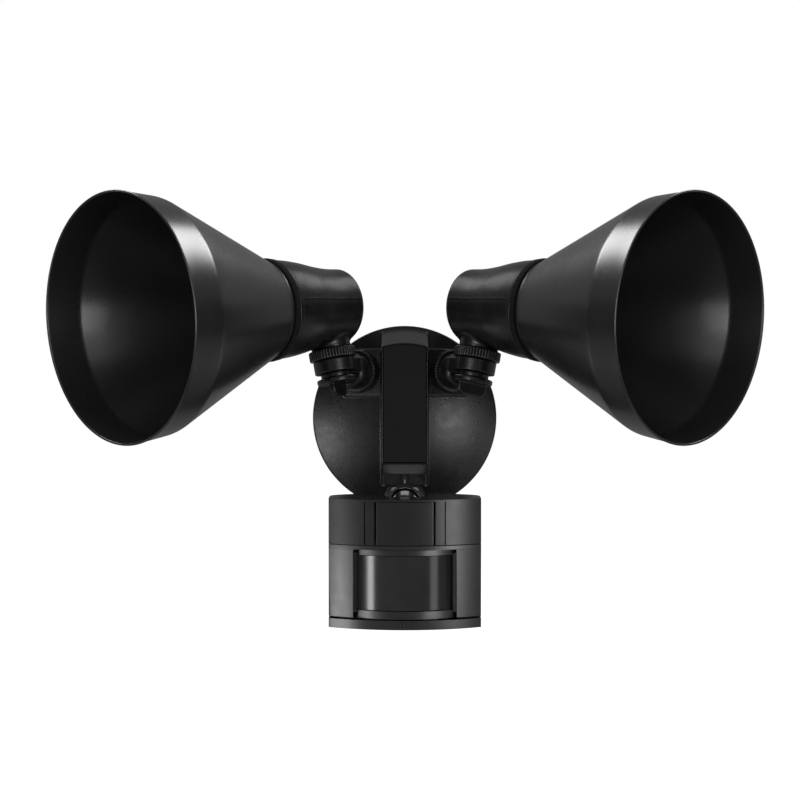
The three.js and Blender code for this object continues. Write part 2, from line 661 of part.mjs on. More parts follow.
function retainer() {
  const top = FLANGE_BASE - GAP;
  const plate = block([-RETAINER_HALF, -14.5, RETAINER_LOW], [RETAINER_HALF, 14.5, top]);
  const holes = atRetainerScrews(() => disc(1.7, RETAINER_LOW - 1, top + 1, 12));
  const inside = headSolid(WALL + GAP, RETAINER_LOW - 1, top + 1);
  return cut(common(plate, inside), disc(COLLAR_R + GAP, RETAINER_LOW - 1, top + 1), ...holes);
}

function retainerScrew(side) {
  const head = disc(2.8, RETAINER_LOW - 2.2, RETAINER_LOW - GAP, 16);
  return join(head, disc(1.2, RETAINER_LOW - 1, 0.8, 12)).translate(side * RETAINER_X, 0, 0);
}

function lowerHousing() {
  const low = COVER_SEAM;
  const high = SEAM - GAP;
  const outside = cut(headSolid(0, low, high), behindSlant(0));
  const inside = cut(headSolid(WALL, low - 1, high + 1), behindSlant(WALL));
  const half = FRAME_HALF + GAP;
  const window = block([-half, -HEAD_FRONT - 1, low - 1], [half, -10, FRAME_TOP + GAP]);
  return cut(outside, inside, window);
}

// Frame set into the window, bent more tightly than the head so that its sides lie deeper.
function lensFrame() {
  const low = COVER_SEAM + GAP;
  const centre = FRAME_FRONT + FRAME_RADIUS;
  const reach = Math.asin(FRAME_HALF / FRAME_RADIUS);
  const from = -Math.PI / 2 - reach;
  const to = -Math.PI / 2 + reach;
  const outer = arc(0, centre, FRAME_RADIUS, from, to, 18);
  const inner = arc(0, centre + FRAME_DEPTH, FRAME_RADIUS, to, from, 18);
  const half = LENS_HALF + GAP;
  const opening = block([-half, -HEAD_FRONT - 1, LENS_LOW - GAP], [half, 0, LENS_TOP + GAP]);
  return cut(prism([...outer, ...inner], low, FRAME_TOP), opening);
}

// Curved window with side flanges that step back behind the frame.
function lens() {
  const centre = -HEAD_FRONT + 1.2 + LENS_RADIUS;
  const reach = Math.asin(LENS_HALF / LENS_RADIUS);
  const from = -Math.PI / 2 - reach;
  const to = -Math.PI / 2 + reach;
  const outer = arc(0, centre, LENS_RADIUS, from, to, 14);
  const inner = arc(0, centre, LENS_RADIUS - LENS_THICK, to, from, 14);
  const front = outer[0][1] + LENS_STEP;
  const back = front + LENS_THICK;
  const wall = inner[0][0];
  const flange = FRAME_HALF - 0.6;
  const outline = [[-flange, front], [-LENS_HALF, front], ...outer, [LENS_HALF, front], [flange, front],
    [flange, back], [wall, back], ...inner, [-wall, back], [-flange, back]];
  return prism(outline, LENS_LOW, LENS_TOP);
}

function bottomCover() {
  const top = COVER_SEAM - GAP;
  const outside = cut(headSolid(0, HEAD_BOTTOM, top), behindSlant(0));
  const inside = cut(headSolid(WALL, HEAD_BOTTOM + 2, top + 1), behindSlant(WALL));
  const slotEnd = SWITCH_X + SWITCH_TRAVEL + SWITCH_HALF + GAP;
  const slotLow = [SWITCH_X - SWITCH_HALF - GAP, CONTROL_Y - 2.5, HEAD_BOTTOM - 1];
  const slot = block(slotLow, [slotEnd, CONTROL_Y + 2.5, HEAD_BOTTOM + 3]);
  const dialHole = disc(DIAL_R + GAP, HEAD_BOTTOM - 1, HEAD_BOTTOM + 3);
  return cut(outside, inside, slot, dialHole.translate(DIAL_X, CONTROL_Y, 0));
}

function rangeDial() {
  const dial = disc(DIAL_R, HEAD_BOTTOM + 0.2, HEAD_BOTTOM + 4.4);
  const slot = block([-4, -0.6, HEAD_BOTTOM - 1], [4, 0.6, HEAD_BOTTOM + 1.2]);
  return cut(dial, slot).translate(DIAL_X, CONTROL_Y, 0);
}

function timeSwitch() {
  const half = SWITCH_HALF;
  const knob = block([-half, -2.1, HEAD_BOTTOM + 0.2], [half, 2.1, HEAD_BOTTOM + 3.2]);
  const slider = block([-half, -3.5, HEAD_BOTTOM + 2.3], [half, 3.5, HEAD_BOTTOM + 3.6]);
  return join(knob, slider).translate(SWITCH_X, CONTROL_Y, 0);
}

const mainBoard = () => block([-27, BOARD_FRONT, LENS_LOW + 1], [27, BOARD_FRONT + BOARD, LENS_TOP]);
const powerBoard = () => block([-33, POWER_FRONT, SEAM + 1.5], [33, POWER_FRONT + BOARD, -2]);
const relay = () => block([-12, POWER_FRONT - 10, SEAM + 3], [8, POWER_FRONT - GAP, -7]);
const capacitor = () => disc(5, SEAM + 4, -6).translate(18, POWER_FRONT - 5 - GAP, 0);

// A round part standing on the main board and facing the lens.
function onBoard(geometry, x, z) {
  return geometry.rotateX(Math.PI / 2).translate(x, BOARD_FRONT - GAP, z);
}

const heatSensor = () => onBoard(join(disc(4.6, 0, 4), disc(5.2, 0, 0.7)), 0, -46);
const photocell = () => onBoard(disc(2.6, 0, 2.5, 16), 16, -56);

function addSensor(parent) {
  const head = frameIn(parent, [0, -BALL_OUT, BALL_Z], [HEAD_TILT, 0, 0]);
  addPart(frameIn(parent, [0, -BALL_OUT, BALL_Z]), 'ball_liner', ballLiner(), glossPlastic);
  addPart(head, 'ball_collar', ballCollar(), glossPlastic);
  addPart(head, 'collar_retainer', retainer(), blackPlastic);
  addPart(head, 'retainer_screw_left', retainerScrew(-1), zinc);
  addPart(head, 'retainer_screw_right', retainerScrew(1), zinc);
  addPart(head, 'upper_housing', upperHousing(), blackPlastic);
  addPart(head, 'front_panel', frontPanel(), blackPlastic);
  addPart(head, 'lower_housing', lowerHousing(), blackPlastic);
  addPart(head, 'lens_frame', lensFrame(), blackPlastic);
  addPart(head, 'sensor_lens', lens(), lensPlastic);
  addPart(head, 'bottom_cover', bottomCover(), blackPlastic);
  addPart(head, 'range_dial', rangeDial(), blackPlastic);
  addPart(head, 'time_switch', timeSwitch(), blackPlastic);
  addPart(head, 'main_board', mainBoard(), boardGreen);
  addPart(head, 'power_board', powerBoard(), boardGreen);
  addPart(head, 'relay', relay(), glossPlastic);
  addPart(head, 'capacitor', capacitor(), glossPlastic);
  addPart(head, 'heat_sensor', heatSensor(), zinc);
  addPart(head, 'photocell', photocell(), glossPlastic);
}

const light = new THREE.Group();
addCanopy(light);
addLamp(light, -1, 'left', -87 * DEG);
addLamp(light, 1, 'right', 0);
addSensor(light);
export default light;
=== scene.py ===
import json
import math

import bmesh
import bpy
import numpy as np
from mathutils import Matrix, Vector


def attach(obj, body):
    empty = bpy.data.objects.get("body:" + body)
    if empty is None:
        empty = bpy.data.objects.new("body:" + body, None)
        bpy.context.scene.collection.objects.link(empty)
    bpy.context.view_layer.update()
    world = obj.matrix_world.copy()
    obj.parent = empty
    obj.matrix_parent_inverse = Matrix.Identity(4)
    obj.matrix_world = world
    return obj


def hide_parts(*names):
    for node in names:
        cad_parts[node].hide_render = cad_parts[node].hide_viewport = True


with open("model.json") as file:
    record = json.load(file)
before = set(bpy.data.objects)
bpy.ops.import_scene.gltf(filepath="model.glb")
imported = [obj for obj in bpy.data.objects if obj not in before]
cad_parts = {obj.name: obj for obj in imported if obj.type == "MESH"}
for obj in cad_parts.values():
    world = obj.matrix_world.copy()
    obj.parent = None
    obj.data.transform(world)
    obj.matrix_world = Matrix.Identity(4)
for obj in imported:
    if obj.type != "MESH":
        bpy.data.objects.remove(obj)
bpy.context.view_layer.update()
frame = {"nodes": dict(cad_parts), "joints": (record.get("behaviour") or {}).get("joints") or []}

MM = 0.001
GAP = 0.3  # clearance between neighbouring parts, as in the CAD
SIDES = {"left": -1, "right": 1}

# ---------- sizes, in millimetres: the CAD's, but for the nuts' ribs, which are finer here ----------

CANOPY_R, CANOPY_BACK, CANOPY_RIM, DOME_TOP, CASTING = 57.15, 3, 5, 14, 2.5
BLOCK_FRONT, BLOCK_TOP_R, BAR_HALF, BAR_LOW = 30, 45.7, 14.3, -28
CEILING, CHAMFER_DEPTH, CHEEK_LOW, CHEEK_DEPTH = -34.7, 24, -40.5, 11.5
POCKET_HALF, POCKET_FLOOR = 12, 9
SHOULDER_LOW, SHOULDER_HIGH, SHOULDER_END = 13.4, 42.3, 37.5
COVER_HALF, COVER_THICK = 13, 1.5
NUT_X, NUT_OUT, NUT_Z, ARM_YAW = 26.6, 20, 28.5, math.radians(25)
BOSS_R, BOSS_LOW, BOSS_HIGH = 8.5, 17.5, 28
BOLT_HOLE_R, BOLT_HEAD_R, BOLT_SEAT = 2.8, 6.5, 20
STRAP_HALF, STRAP_WIDTH, STRAP_THICK = 45, 19, 1.6
STRAP_SLOT_X, STRAP_SLOT_LENGTH, STRAP_SLOT_WIDTH = 32, 18, 4.4
GROUND_X, GROUND_HOLE_R, SEAL_WIDTH = 14, 2, 7

ARM_LENGTH, ARM_R, ARM_END = 35.5, 11, 21.2
THREAD_R, THREAD_PITCH, WIRE_BORE_R = 10, 1.8, 6
NUT_R, NUT_HEIGHT, RIBS, RIB_DEPTH, STEM_RIB_DEPTH = 13.1, 8.4, 44, 0.9, 0.45
LUG_R, LUG_LOW, LUG_HIGH, SWIVEL_HOLE_R = 12.3, -1.2, 6.6, 3.2
WASHER_R, FLANGE_R, FLANGE_TOP, FLANGE_LOW = 9, 11.9, -4.4, -7.5
WING_WIDTH, WING_HEIGHT, WING_THICK, WING_CORNER, SCREW_R = 18.4, 7.8, 3.2, 4, 2.4
WING_TURN = {"left": math.radians(-87), "right": 0}
STEM_NUT_R, STEM_NUT_HEIGHT, STEM_R, STEM_LENGTH = 14, 6, 11.8, 39

LAMP_TURN = math.radians(21.9)
HOLDER_REAR, HOLDER_LIP, HOLDER_LIP_R, HOLDER_WALL = -14, 43.5, 29.9, 2.4
HOLDER_CURVE = [(-14, 22.2), (0, 22.9), (12, 24.8), (22, 27.0), (32, 28.6), (44, 29.4)]
GASKET_THICK = 3.4
NECK = HOLDER_LIP + GASKET_THICK + 2 * GAP
NECK_R, CREASE, CREASE_R, MOUTH, MOUTH_R, SHEET = 29.3, 129.2, 66.9, 150.3, 69.6, 1.1
SOCKET_R, SOCKET_BACK, SOCKET_FLOOR = 18.5, -9, 16
SHELL_R, SHELL_PITCH, SHELL_RIPPLE = 13.9, 3.6, 0.32

HEAD_TILT = math.radians(2)
BALL_R, LINER_R, COLLAR_R, COLLAR_FLANGE_R, WINDOW_R = 10.4, 11.6, 13.1, 16.8, 9.6
STUD_R, STUD_LENGTH, STUD_RISE, STUD_BACK = 2.8, 33, 15.9, 12.5
STUD_LEAN = math.hypot(STUD_RISE, STUD_BACK)
HEAD_HALF, HEAD_FRONT, HEAD_BULGE, HEAD_BACK, HEAD_SIDE_END, HEAD_BACK_HALF = 45.6, 34, 13, 16, -2, 22
HEAD_TOP, SEAM, COVER_SEAM, HEAD_BOTTOM = 3.7, -23.4, -67.6, -73.6
SLANT, WALL = math.radians(14), 2.2
NOTCH_LOW, NOTCH_HALF, PANEL_HALF, LINE_X = 0.8, 10.5, 16.9, 23.9
GROOVE_TOP = HEAD_TOP - 1.2
FRAME_HALF, FRAME_TOP, FRAME_RADIUS, FRAME_FRONT, FRAME_DEPTH = 30.6, -26.4, 50, -33.4, 2.6
LENS_HALF, LENS_TOP, LENS_LOW, LENS_RADIUS = 27.2, -29.9, -62.4, 44.4
LENS_THICK, LENS_STEP = 1.2, 4
BEAD = 2.7  # height of the raised bead under the seam
CONTROL_Y, DIAL_X, DIAL_R = -12.5, 14, 4.8
SWITCH_X, SWITCH_HALF, SWITCH_TRAVEL = -11.6, 2, 8


# ---------- frames: where each group of shapes is drawn ----------

def shifted(matrix, x, y, z):
    """A frame moved along its own axes, in millimetres."""
    return matrix @ Matrix.Translation((x * MM, y * MM, z * MM))


def local_frame(origin, up, out):
    """Matrix of a frame whose Y is up and whose Z is out."""
    y, z = up.normalized(), out.normalized()
    matrix = Matrix((y.cross(z), y, z)).transposed().to_4x4()
    matrix.translation = origin
    return matrix


joints = {j["name"]: j for j in frame["joints"]}
UP = Vector((0, 0, 1))
CANOPY_FRAME = local_frame(Vector((0, 0, 0)), UP, Vector((0, -1, 0)))
BALL = Vector(joints["sensor_tilt"]["pos_m"])
BALL_OUT, BALL_Y = -BALL.y / MM, BALL.z / MM
BALL_FRAME = Matrix.Translation(BALL)
HEAD_FRAME = BALL_FRAME @ Matrix.Rotation(HEAD_TILT, 4, "X")
ARM_FRAME, LAMP_FRAME = {}, {}
for tag, side in SIDES.items():
    stem = side * Vector(joints["lamp_swivel_" + tag]["axis"])
    out = -side * Vector(joints["arm_turn_" + tag]["axis"])
    elbow = Vector(joints["lamp_swivel_" + tag]["pos_m"])
    ARM_FRAME[tag] = local_frame(Vector(joints["arm_turn_" + tag]["pos_m"]), stem, out)
    lamp_out = Matrix.Rotation(side * LAMP_TURN, 3, stem) @ out
    LAMP_FRAME[tag] = local_frame(elbow + stem * STEM_LENGTH * MM, stem, lamp_out)


# ---------- distance fields, for cast shapes with soft fillets ----------

def common(*fields):
    """Common part of several fields with sharp edges."""
    return np.max(np.broadcast_arrays(*fields), axis=0)


def join_round(a, b, r):
    """Union of two fields with a fillet of radius r where they meet."""
    return np.maximum(r, np.minimum(a, b)) - np.hypot(np.maximum(r - a, 0), np.maximum(r - b, 0))


def meet_round(a, b, r):
    """Common part of two fields with a rounded edge of radius r."""
    return np.minimum(-r, np.maximum(a, b)) + np.hypot(np.maximum(r + a, 0), np.maximum(r + b, 0))


def cut_round(a, b, r):
    return meet_round(a, -b, r)


def within(value, low, high):
    """Field of the slab between two values."""
    return np.abs(value - (low + high) / 2) - (high - low) / 2


def wave(value, pitch, depth):
    """A ripple between 0 and its depth, as on a thread."""
    return depth * (0.5 + 0.5 * np.cos(2 * math.pi * value / pitch))


def smooth_curve(value, points):
    """Cubic curve through (value, result) points, with slopes from their neighbours."""
    at = np.array([p[0] for p in points], float)
    to = np.array([p[1] for p in points], float)
    slope = np.gradient(to, at)
    x = np.clip(value, at[0], at[-1])
    i = np.clip(np.searchsorted(at, x) - 1, 0, len(at) - 2)
    h = at[i + 1] - at[i]
    t = (x - at[i]) / h
    ahead = (3 - 2 * t) * t * t
    bend = h * t * (1 - t) * ((1 - t) * slope[i] - t * slope[i + 1])
    return to[i] + (to[i + 1] - to[i]) * ahead + bend


def gradient(field, points, step=0.01):
    """Unit outward direction of a field at each point."""
    parts = []
    for axis in range(3):
        shift = np.zeros(3)
        shift[axis] = step
        parts.append(field(points + shift) - field(points - shift))
    normals = np.stack(parts, 1)
    return normals / np.maximum(np.linalg.norm(normals, axis=1, keepdims=True), 1e-12)


def surface_net(field, low, high, step):
    """Points and quads of a field's zero surface, one point in each grid cell that it crosses."""
    axes = [np.arange(a - 2 * step, b + 3 * step, step) for a, b in zip(low, high)]
    shape = tuple(len(a) for a in axes)
    values = np.empty(shape)
    for i, x in enumerate(axes[0]):
        y, z = np.meshgrid(axes[1], axes[2], indexing="ij")
        slab = np.stack([np.full(y.size, x), y.ravel(), z.ravel()], 1)
        values[i] = field(slab).reshape(shape[1:])
    quads, crossings = [], []
    for a in range(3):
        b, c = (a + 1) % 3, (a + 2) % 3
        near = [slice(None)] * 3
        far = [slice(None)] * 3
        near[a], far[a] = slice(0, -1), slice(1, None)
        start, end = values[tuple(near)], values[tuple(far)]
        at = np.argwhere((start < 0) != (end < 0))
        v0, v1 = start[tuple(at.T)], end[tuple(at.T)]
        point = at.astype(float)
        point[:, a] += v0 / (v0 - v1)
        ring = []
        for db, dc in ((-1, -1), (0, -1), (0, 0), (-1, 0)):
            cell = at.copy()
            cell[:, b] += db
            cell[:, c] += dc
            ring.append(np.ravel_multi_index(cell.T, shape))
        quad = np.stack(ring, 1)
        quads.append(np.where((v0 < 0)[:, None], quad, quad[:, ::-1]))
        crossings.append(np.repeat(point, 4, 0))
    quad = np.concatenate(quads)
    inverse = np.unique(quad.ravel(), return_inverse=True)[1]
    count = np.bincount(inverse)
    every = np.concatenate(crossings)
    points = np.stack([np.bincount(inverse, every[:, k]) / count for k in range(3)], 1)
    origin = np.array([a[0] for a in axes])
    points = points * step + origin
    for _ in range(4):
        points -= gradient(field, points) * np.clip(field(points), -step, step)[:, None]
    return points, inverse.reshape(quad.shape)


# ---------- meshes ----------

SOFT_ANGLE = 32  # degrees; sharper edges are broken


def new_object(name, points, faces, matrix):
    """A mesh object from points in millimetres, in the frame of matrix."""
    if isinstance(faces, np.ndarray):
        faces = faces.tolist()
    mesh = bpy.data.meshes.new(name)
    mesh.from_pydata((np.asarray(points, float) * MM).tolist(), [], faces)
    mesh.validate()
    ob = bpy.data.objects.new(name, mesh)
    bpy.context.scene.collection.objects.link(ob)
    ob.matrix_world = matrix
    return ob


def modify(ob, kind, **settings):
    """Adds a modifier, applies it and keeps the result as the object's mesh."""
    modifier = ob.modifiers.new(kind.lower(), kind)
    for key, value in settings.items():
        setattr(modifier, key, value)
    graph = bpy.context.evaluated_depsgraph_get()
    result = bpy.data.meshes.new_from_object(ob.evaluated_get(graph))
    ob.modifiers.clear()
    old, ob.data = ob.data, result
    bpy.data.meshes.remove(old)
    result.name = ob.name
    return ob


def combine(base, *tools, operation="DIFFERENCE"):
    """Cuts objects out of one, or joins them to it. They are used up."""
    for tool in tools:
        modify(base, "BOOLEAN", operation=operation, solver="EXACT", object=tool)
        bpy.data.objects.remove(tool)
    return base


def shade_smooth(mesh, angle):
    """Smooth shading, broken at edges sharper than an angle in degrees."""
    mesh.polygons.foreach_set("use_smooth", np.ones(len(mesh.polygons), bool))
    mesh.set_sharp_from_angle(angle=math.radians(angle))


def soften(ob, width):
    """Breaks the sharp edges and shades the rest smooth."""
    if width:
        modify(ob, "BEVEL", width=width * MM, segments=2, limit_method="ANGLE",
               angle_limit=math.radians(SOFT_ANGLE), harden_normals=False)
    shade_smooth(ob.data, SOFT_ANGLE)
    return modify(ob, "WEIGHTED_NORMAL", keep_sharp=True)


def cast_shape(name, field, low, high, step, matrix):
    """A piece from a distance field, shaded by the field itself."""
    points, quads = surface_net(field, low, high, step)
    ob = new_object(name, points, quads, matrix)
    mesh = ob.data
    co = np.empty(len(mesh.vertices) * 3)
    mesh.vertices.foreach_get("co", co)
    normals = gradient(field, co.reshape(-1, 3) / MM, 0.05)
    mesh.polygons.foreach_set("use_smooth", np.ones(len(mesh.polygons), bool))
    mesh.normals_split_custom_set_from_vertices(normals.tolist())
    return ob


def rounded(profile, radii, steps=4):
    """A profile of (x, y) points with each inner corner rounded by its radius."""
    result = [profile[0]]
    for before, here, after, radius in zip(profile, profile[1:], profile[2:], radii[1:]):
        if radius <= 0:
            result.append(tuple(here))
            continue
        p = Vector(here)
        u, v = Vector(before) - p, Vector(after) - p
        reach = min(radius, 0.45 * u.length, 0.45 * v.length)
        start, end = p + u.normalized() * reach, p + v.normalized() * reach
        for i in range(steps + 1):
            t = i / steps
            q = start * (1 - t) ** 2 + p * 2 * t * (1 - t) + end * t * t
            result.append(tuple(q))
    result.append(profile[-1])
    return result


def rounded_ring(profile, radii, steps=4):
    """A closed profile with every corner rounded by its radius."""
    ring = rounded(profile + profile[:2], radii + radii[:2], steps)[1:-1]
    return [ring[i] for i in range(len(ring)) if ring[i] != ring[i - 1]]


def revolve(profile, facets, radius_at=None):
    """Points and faces of a closed (radius, height) profile turned about Z."""
    rows = len(profile)
    points, faces = [], []
    for k in range(facets):
        angle = 2 * math.pi * k / facets
        for r, z in profile:
            r = radius_at(r, z, angle) if radius_at else r
            points.append((r * math.cos(angle), r * math.sin(angle), z))
    for k in range(facets):
        nxt = (k + 1) % facets
        for i in range(rows):
            j = (i + 1) % rows
            faces.append((k * rows + i, nxt * rows + i, nxt * rows + j, k * rows + j))
    return points, faces


def turned(name, profile, radii, facets, matrix, radius_at=None):
    """A turned piece from a profile that runs anticlockwise in (radius, height)."""
    if isinstance(radii, (int, float)):
        radii = [radii] * len(profile)
    points, faces = revolve(rounded_ring(profile, radii), facets, radius_at)
    return weld(new_object(name, points, faces, matrix))


def band_profile(inner, outer, low, high):
    """Profile of a plain ring."""
    return [(inner, low), (outer, low), (outer, high), (inner, high)]


def weld(ob, angle=40):
    """Merges points that coincide, such as those on an axis, and fixes the shading."""
    mesh = ob.data
    bm = bmesh.new()
    bm.from_mesh(mesh)
    bmesh.ops.remove_doubles(bm, verts=bm.verts, dist=1e-6)
    bmesh.ops.dissolve_degenerate(bm, edges=bm.edges, dist=1e-7)
    bmesh.ops.recalc_face_normals(bm, faces=bm.faces)
    bm.to_mesh(mesh)
    bm.free()
    shade_smooth(mesh, angle)
    return ob


def extruded(name, outline, low, high, matrix):
    """A flat outline pulled along Z, as a closed solid."""
    count = len(outline)
    points = [(x, y, low) for x, y in outline] + [(x, y, high) for x, y in outline]
    faces = [tuple(range(count))[::-1], tuple(range(count, 2 * count))]
    for i in range(count):
        j = (i + 1) % count
        faces.append((i, j, count + j, count + i))
    return weld(new_object(name, points, faces, matrix))


def box(name, low, high, matrix):
    outline = [(low[0], low[1]), (high[0], low[1]), (high[0], high[1]), (low[0], high[1])]
    return extruded(name, outline, low[2], high[2], matrix)


def cylinder(name, radius, low, high, matrix):
    return turned(name, band_profile(0, radius, low, high), 0, 64, matrix)


def piece(ob, body, slot, node):
    """Gives an object the material of its slot, puts it under its body and hides the CAD node that it
    stands for.
    """
    ob.data.materials.clear()
    ob.data.materials.append(MATERIALS[slot])
    ob.data.transform(ob.matrix_world)
    ob.matrix_world = Matrix.Identity(4)
    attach(ob, body)
    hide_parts(node)


# ---------- materials: every one is procedural, on coordinates in metres ----------

class Surface:
    """A Principled material with helpers that add detail to its roughness, colour and bump."""

    def __init__(self, name, color, roughness, metallic=0.0, specular=0.5, coat=0.0):
        self.material = bpy.data.materials.new(name)
        self.material.use_nodes = True
        self.tree = self.material.node_tree
        self.inputs = self.tree.nodes["Principled BSDF"].inputs
        values = {"Base Color": (*color, 1), "Roughness": roughness, "Metallic": metallic,
                  "Specular IOR Level": specular, "Coat Weight": coat, "Coat Roughness": 0.1}
        for key, value in values.items():
            self.inputs[key].default_value = value
        self.place = self.tree.nodes.new("ShaderNodeTexCoord").outputs["Object"]

    def node(self, kind, links, **values):
        """A new node with links from other nodes' outputs and values for its inputs or settings."""
        made = self.tree.nodes.new(kind)
        for key, value in values.items():
            setattr(made, key, value)
        for key, value in links.items():
            if isinstance(value, bpy.types.NodeSocket):
                self.tree.links.new(value, made.inputs[key])
            else:
                made.inputs[key].default_value = value
        return made.outputs

    def noise(self, size, detail):
        """Noise whose grains are about size millimetres."""
        links = {"Vector": self.place, "Scale": 1 / (size * MM), "Detail": detail, "Roughness": 0.5}
        return self.node("ShaderNodeTexNoise", links)["Fac"]

    def spread(self, value, low, high):
        """The middle of a noise carried to the range low to high."""
        links = {"Value": value, "From Min": 0.3, "From Max": 0.7, "To Min": low, "To Max": high}
        return self.node("ShaderNodeMapRange", links, clamp=False)["Result"]

    def vary_roughness(self, value, low, high):
        self.tree.links.new(self.spread(value, low, high), self.inputs["Roughness"])

    def vary_color(self, value, dark, light):
        links = {"Factor": self.spread(value, 0, 1), "A": (*dark, 1), "B": (*light, 1)}
        mixed = self.node("ShaderNodeMix", links, data_type="RGBA")["Result"]
        self.tree.links.new(mixed, self.inputs["Base Color"])

    def relief(self, value, depth):
        """A bump of the given depth in millimetres."""
        links = {"Height": value, "Strength": 1.0, "Distance": depth * MM}
        self.tree.links.new(self.node("ShaderNodeBump", links)["Normal"], self.inputs["Normal"])


def finish(name, color, roughness, tint, wear, grain, **shader):
    """A material with varied colour (size, detail, dark, light), varied roughness (size, detail,
    low, high) and relief (size, detail, depth). Sizes and depths are in millimetres."""
    s = Surface(name, color, roughness, **shader)
    s.vary_color(s.noise(*tint[:2]), *tint[2:])
    s.vary_roughness(s.noise(*wear[:2]), *wear[2:])
    s.relief(s.noise(*grain[:2]), grain[2])
    return s.material


def metal(name, dark, light, roughness, grain):
    return finish(name, dark, roughness, (4, 3, dark, light),
                  (1.5, 4, roughness - 0.08, roughness + 0.1), (grain, 3, 0.015), metallic=1.0)


MATERIALS = {
    "cast_black": finish("cast_black_powder_coat", (0.006, 0.006, 0.0064), 0.29,
                         (14, 2, (0.005, 0.005, 0.0053), (0.007, 0.007, 0.0074)),
                         (5, 4, 0.26, 0.33), (1.3, 2, 0.045)),
    "black_enamel": finish("black_enamel_spun", (0.009, 0.009, 0.0094), 0.27,
                           (30, 2, (0.008, 0.008, 0.0083), (0.01, 0.01, 0.0104)),
                           (25, 2, 0.25, 0.29), (7, 2, 0.01)),
    "sensor_plastic": finish("sensor_plastic_moulded", (0.015, 0.015, 0.0157), 0.31,
                             (22, 2, (0.0135, 0.0135, 0.0142), (0.017, 0.017, 0.0178)),
                             (7, 4, 0.29, 0.34), (0.5, 2, 0.008)),
    "gloss_black": finish("gloss_black_plastic", (0.01, 0.01, 0.011), 0.16,
                          (6, 2, (0.009, 0.009, 0.01), (0.013, 0.013, 0.014)),
                          (4, 3, 0.12, 0.2), (2.2, 2, 0.006)),
    "lens_plastic": finish("lens_plastic", (0.03, 0.03, 0.032), 0.15,
                           (12, 2, (0.027, 0.027, 0.029), (0.034, 0.034, 0.036)),
                           (9, 2, 0.13, 0.17), (2.5, 2, 0.003)),
    "seal_rubber": finish("seal_rubber", (0.01, 0.01, 0.01), 0.8,
                          (1.5, 3, (0.007, 0.007, 0.007), (0.018, 0.018, 0.018)),
                          (2, 3, 0.72, 0.88), (0.5, 3, 0.08), specular=0.3),
    "zinc_steel": metal("zinc_plate", (0.52, 0.52, 0.50), (0.66, 0.66, 0.63), 0.34, 0.7),
    "green_zinc": metal("green_zinc", (0.04, 0.22, 0.07), (0.08, 0.32, 0.12), 0.36, 0.6),
    "aluminium": metal("rolled_aluminium", (0.66, 0.66, 0.67), (0.76, 0.76, 0.77), 0.26, 0.8),
    "brass": metal("brass", (0.66, 0.48, 0.2), (0.76, 0.58, 0.28), 0.28, 0.6),
    "porcelain": finish("porcelain", (0.8, 0.77, 0.7), 0.22,
                        (9, 3, (0.76, 0.73, 0.66), (0.84, 0.81, 0.75)),
                        (5, 3, 0.16, 0.28), (3.5, 2, 0.03), coat=0.5),
    "circuit_board": finish("circuit_board", (0.02, 0.1, 0.04), 0.45,
                            (1.2, 4, (0.015, 0.08, 0.03), (0.03, 0.14, 0.06)),
                            (0.8, 3, 0.35, 0.55), (0.6, 2, 0.02)),
}


# ---------- canopy: X right, Y up, Z out of the wall ----------

def canopy_outside(p):
    """Domed disc with the centre bar, both shoulders and the pocket under the bar."""
    x, y, z = p.T
    r = np.hypot(x, y)
    rise = DOME_TOP - CANOPY_RIM
    slope = 2 * rise * r / CANOPY_R ** 2
    top = (z - CANOPY_RIM - rise * (1 - (r / CANOPY_R) ** 2)) / np.sqrt(1 + slope ** 2)
    dome = meet_round(top, r - CANOPY_R, 0.9)
    lean = math.atan((CANOPY_R - BLOCK_TOP_R) / BLOCK_FRONT)
    cone = (r - CANOPY_R) * math.cos(lean) + z * math.sin(lean)
    front = z - BLOCK_FRONT
    chamfer = edge_plane(y, z, (BAR_LOW, BLOCK_FRONT), (CEILING, CHAMFER_DEPTH))
    cheek = edge_plane(y, z, (CEILING, CHAMFER_DEPTH), (CHEEK_LOW, CHEEK_DEPTH))
    ends = meet_round(meet_round(chamfer, cheek, 0.5), meet_round(cone, front, 0.6), 0.5)
    bar = meet_round(np.abs(x) - BAR_HALF, ends, 0.6)
    face = (np.abs(x) - NUT_X) * math.sin(ARM_YAW) + (z - NUT_OUT) * math.cos(ARM_YAW)
    tall = meet_round(within(y, SHOULDER_LOW, SHOULDER_HIGH), np.abs(x) - SHOULDER_END, 0.7)
    shoulders = meet_round(meet_round(face, tall, 0.6), cone, 0.7)
    solid = join_round(dome, join_round(bar, shoulders, 0.8), 1.1)
    return cut_round(solid, common(np.abs(x) - POCKET_HALF, y - CEILING, POCKET_FLOOR - z), 0.4)


def edge_plane(y, z, a, b):
    """Field of the straight edge from a to b in (y, z), outside on its lower front side."""
    dy, dz = b[0] - a[0], b[1] - a[1]
    length = math.hypot(dy, dz)
    return ((y - a[0]) * dz - (z - a[1]) * dy) / length


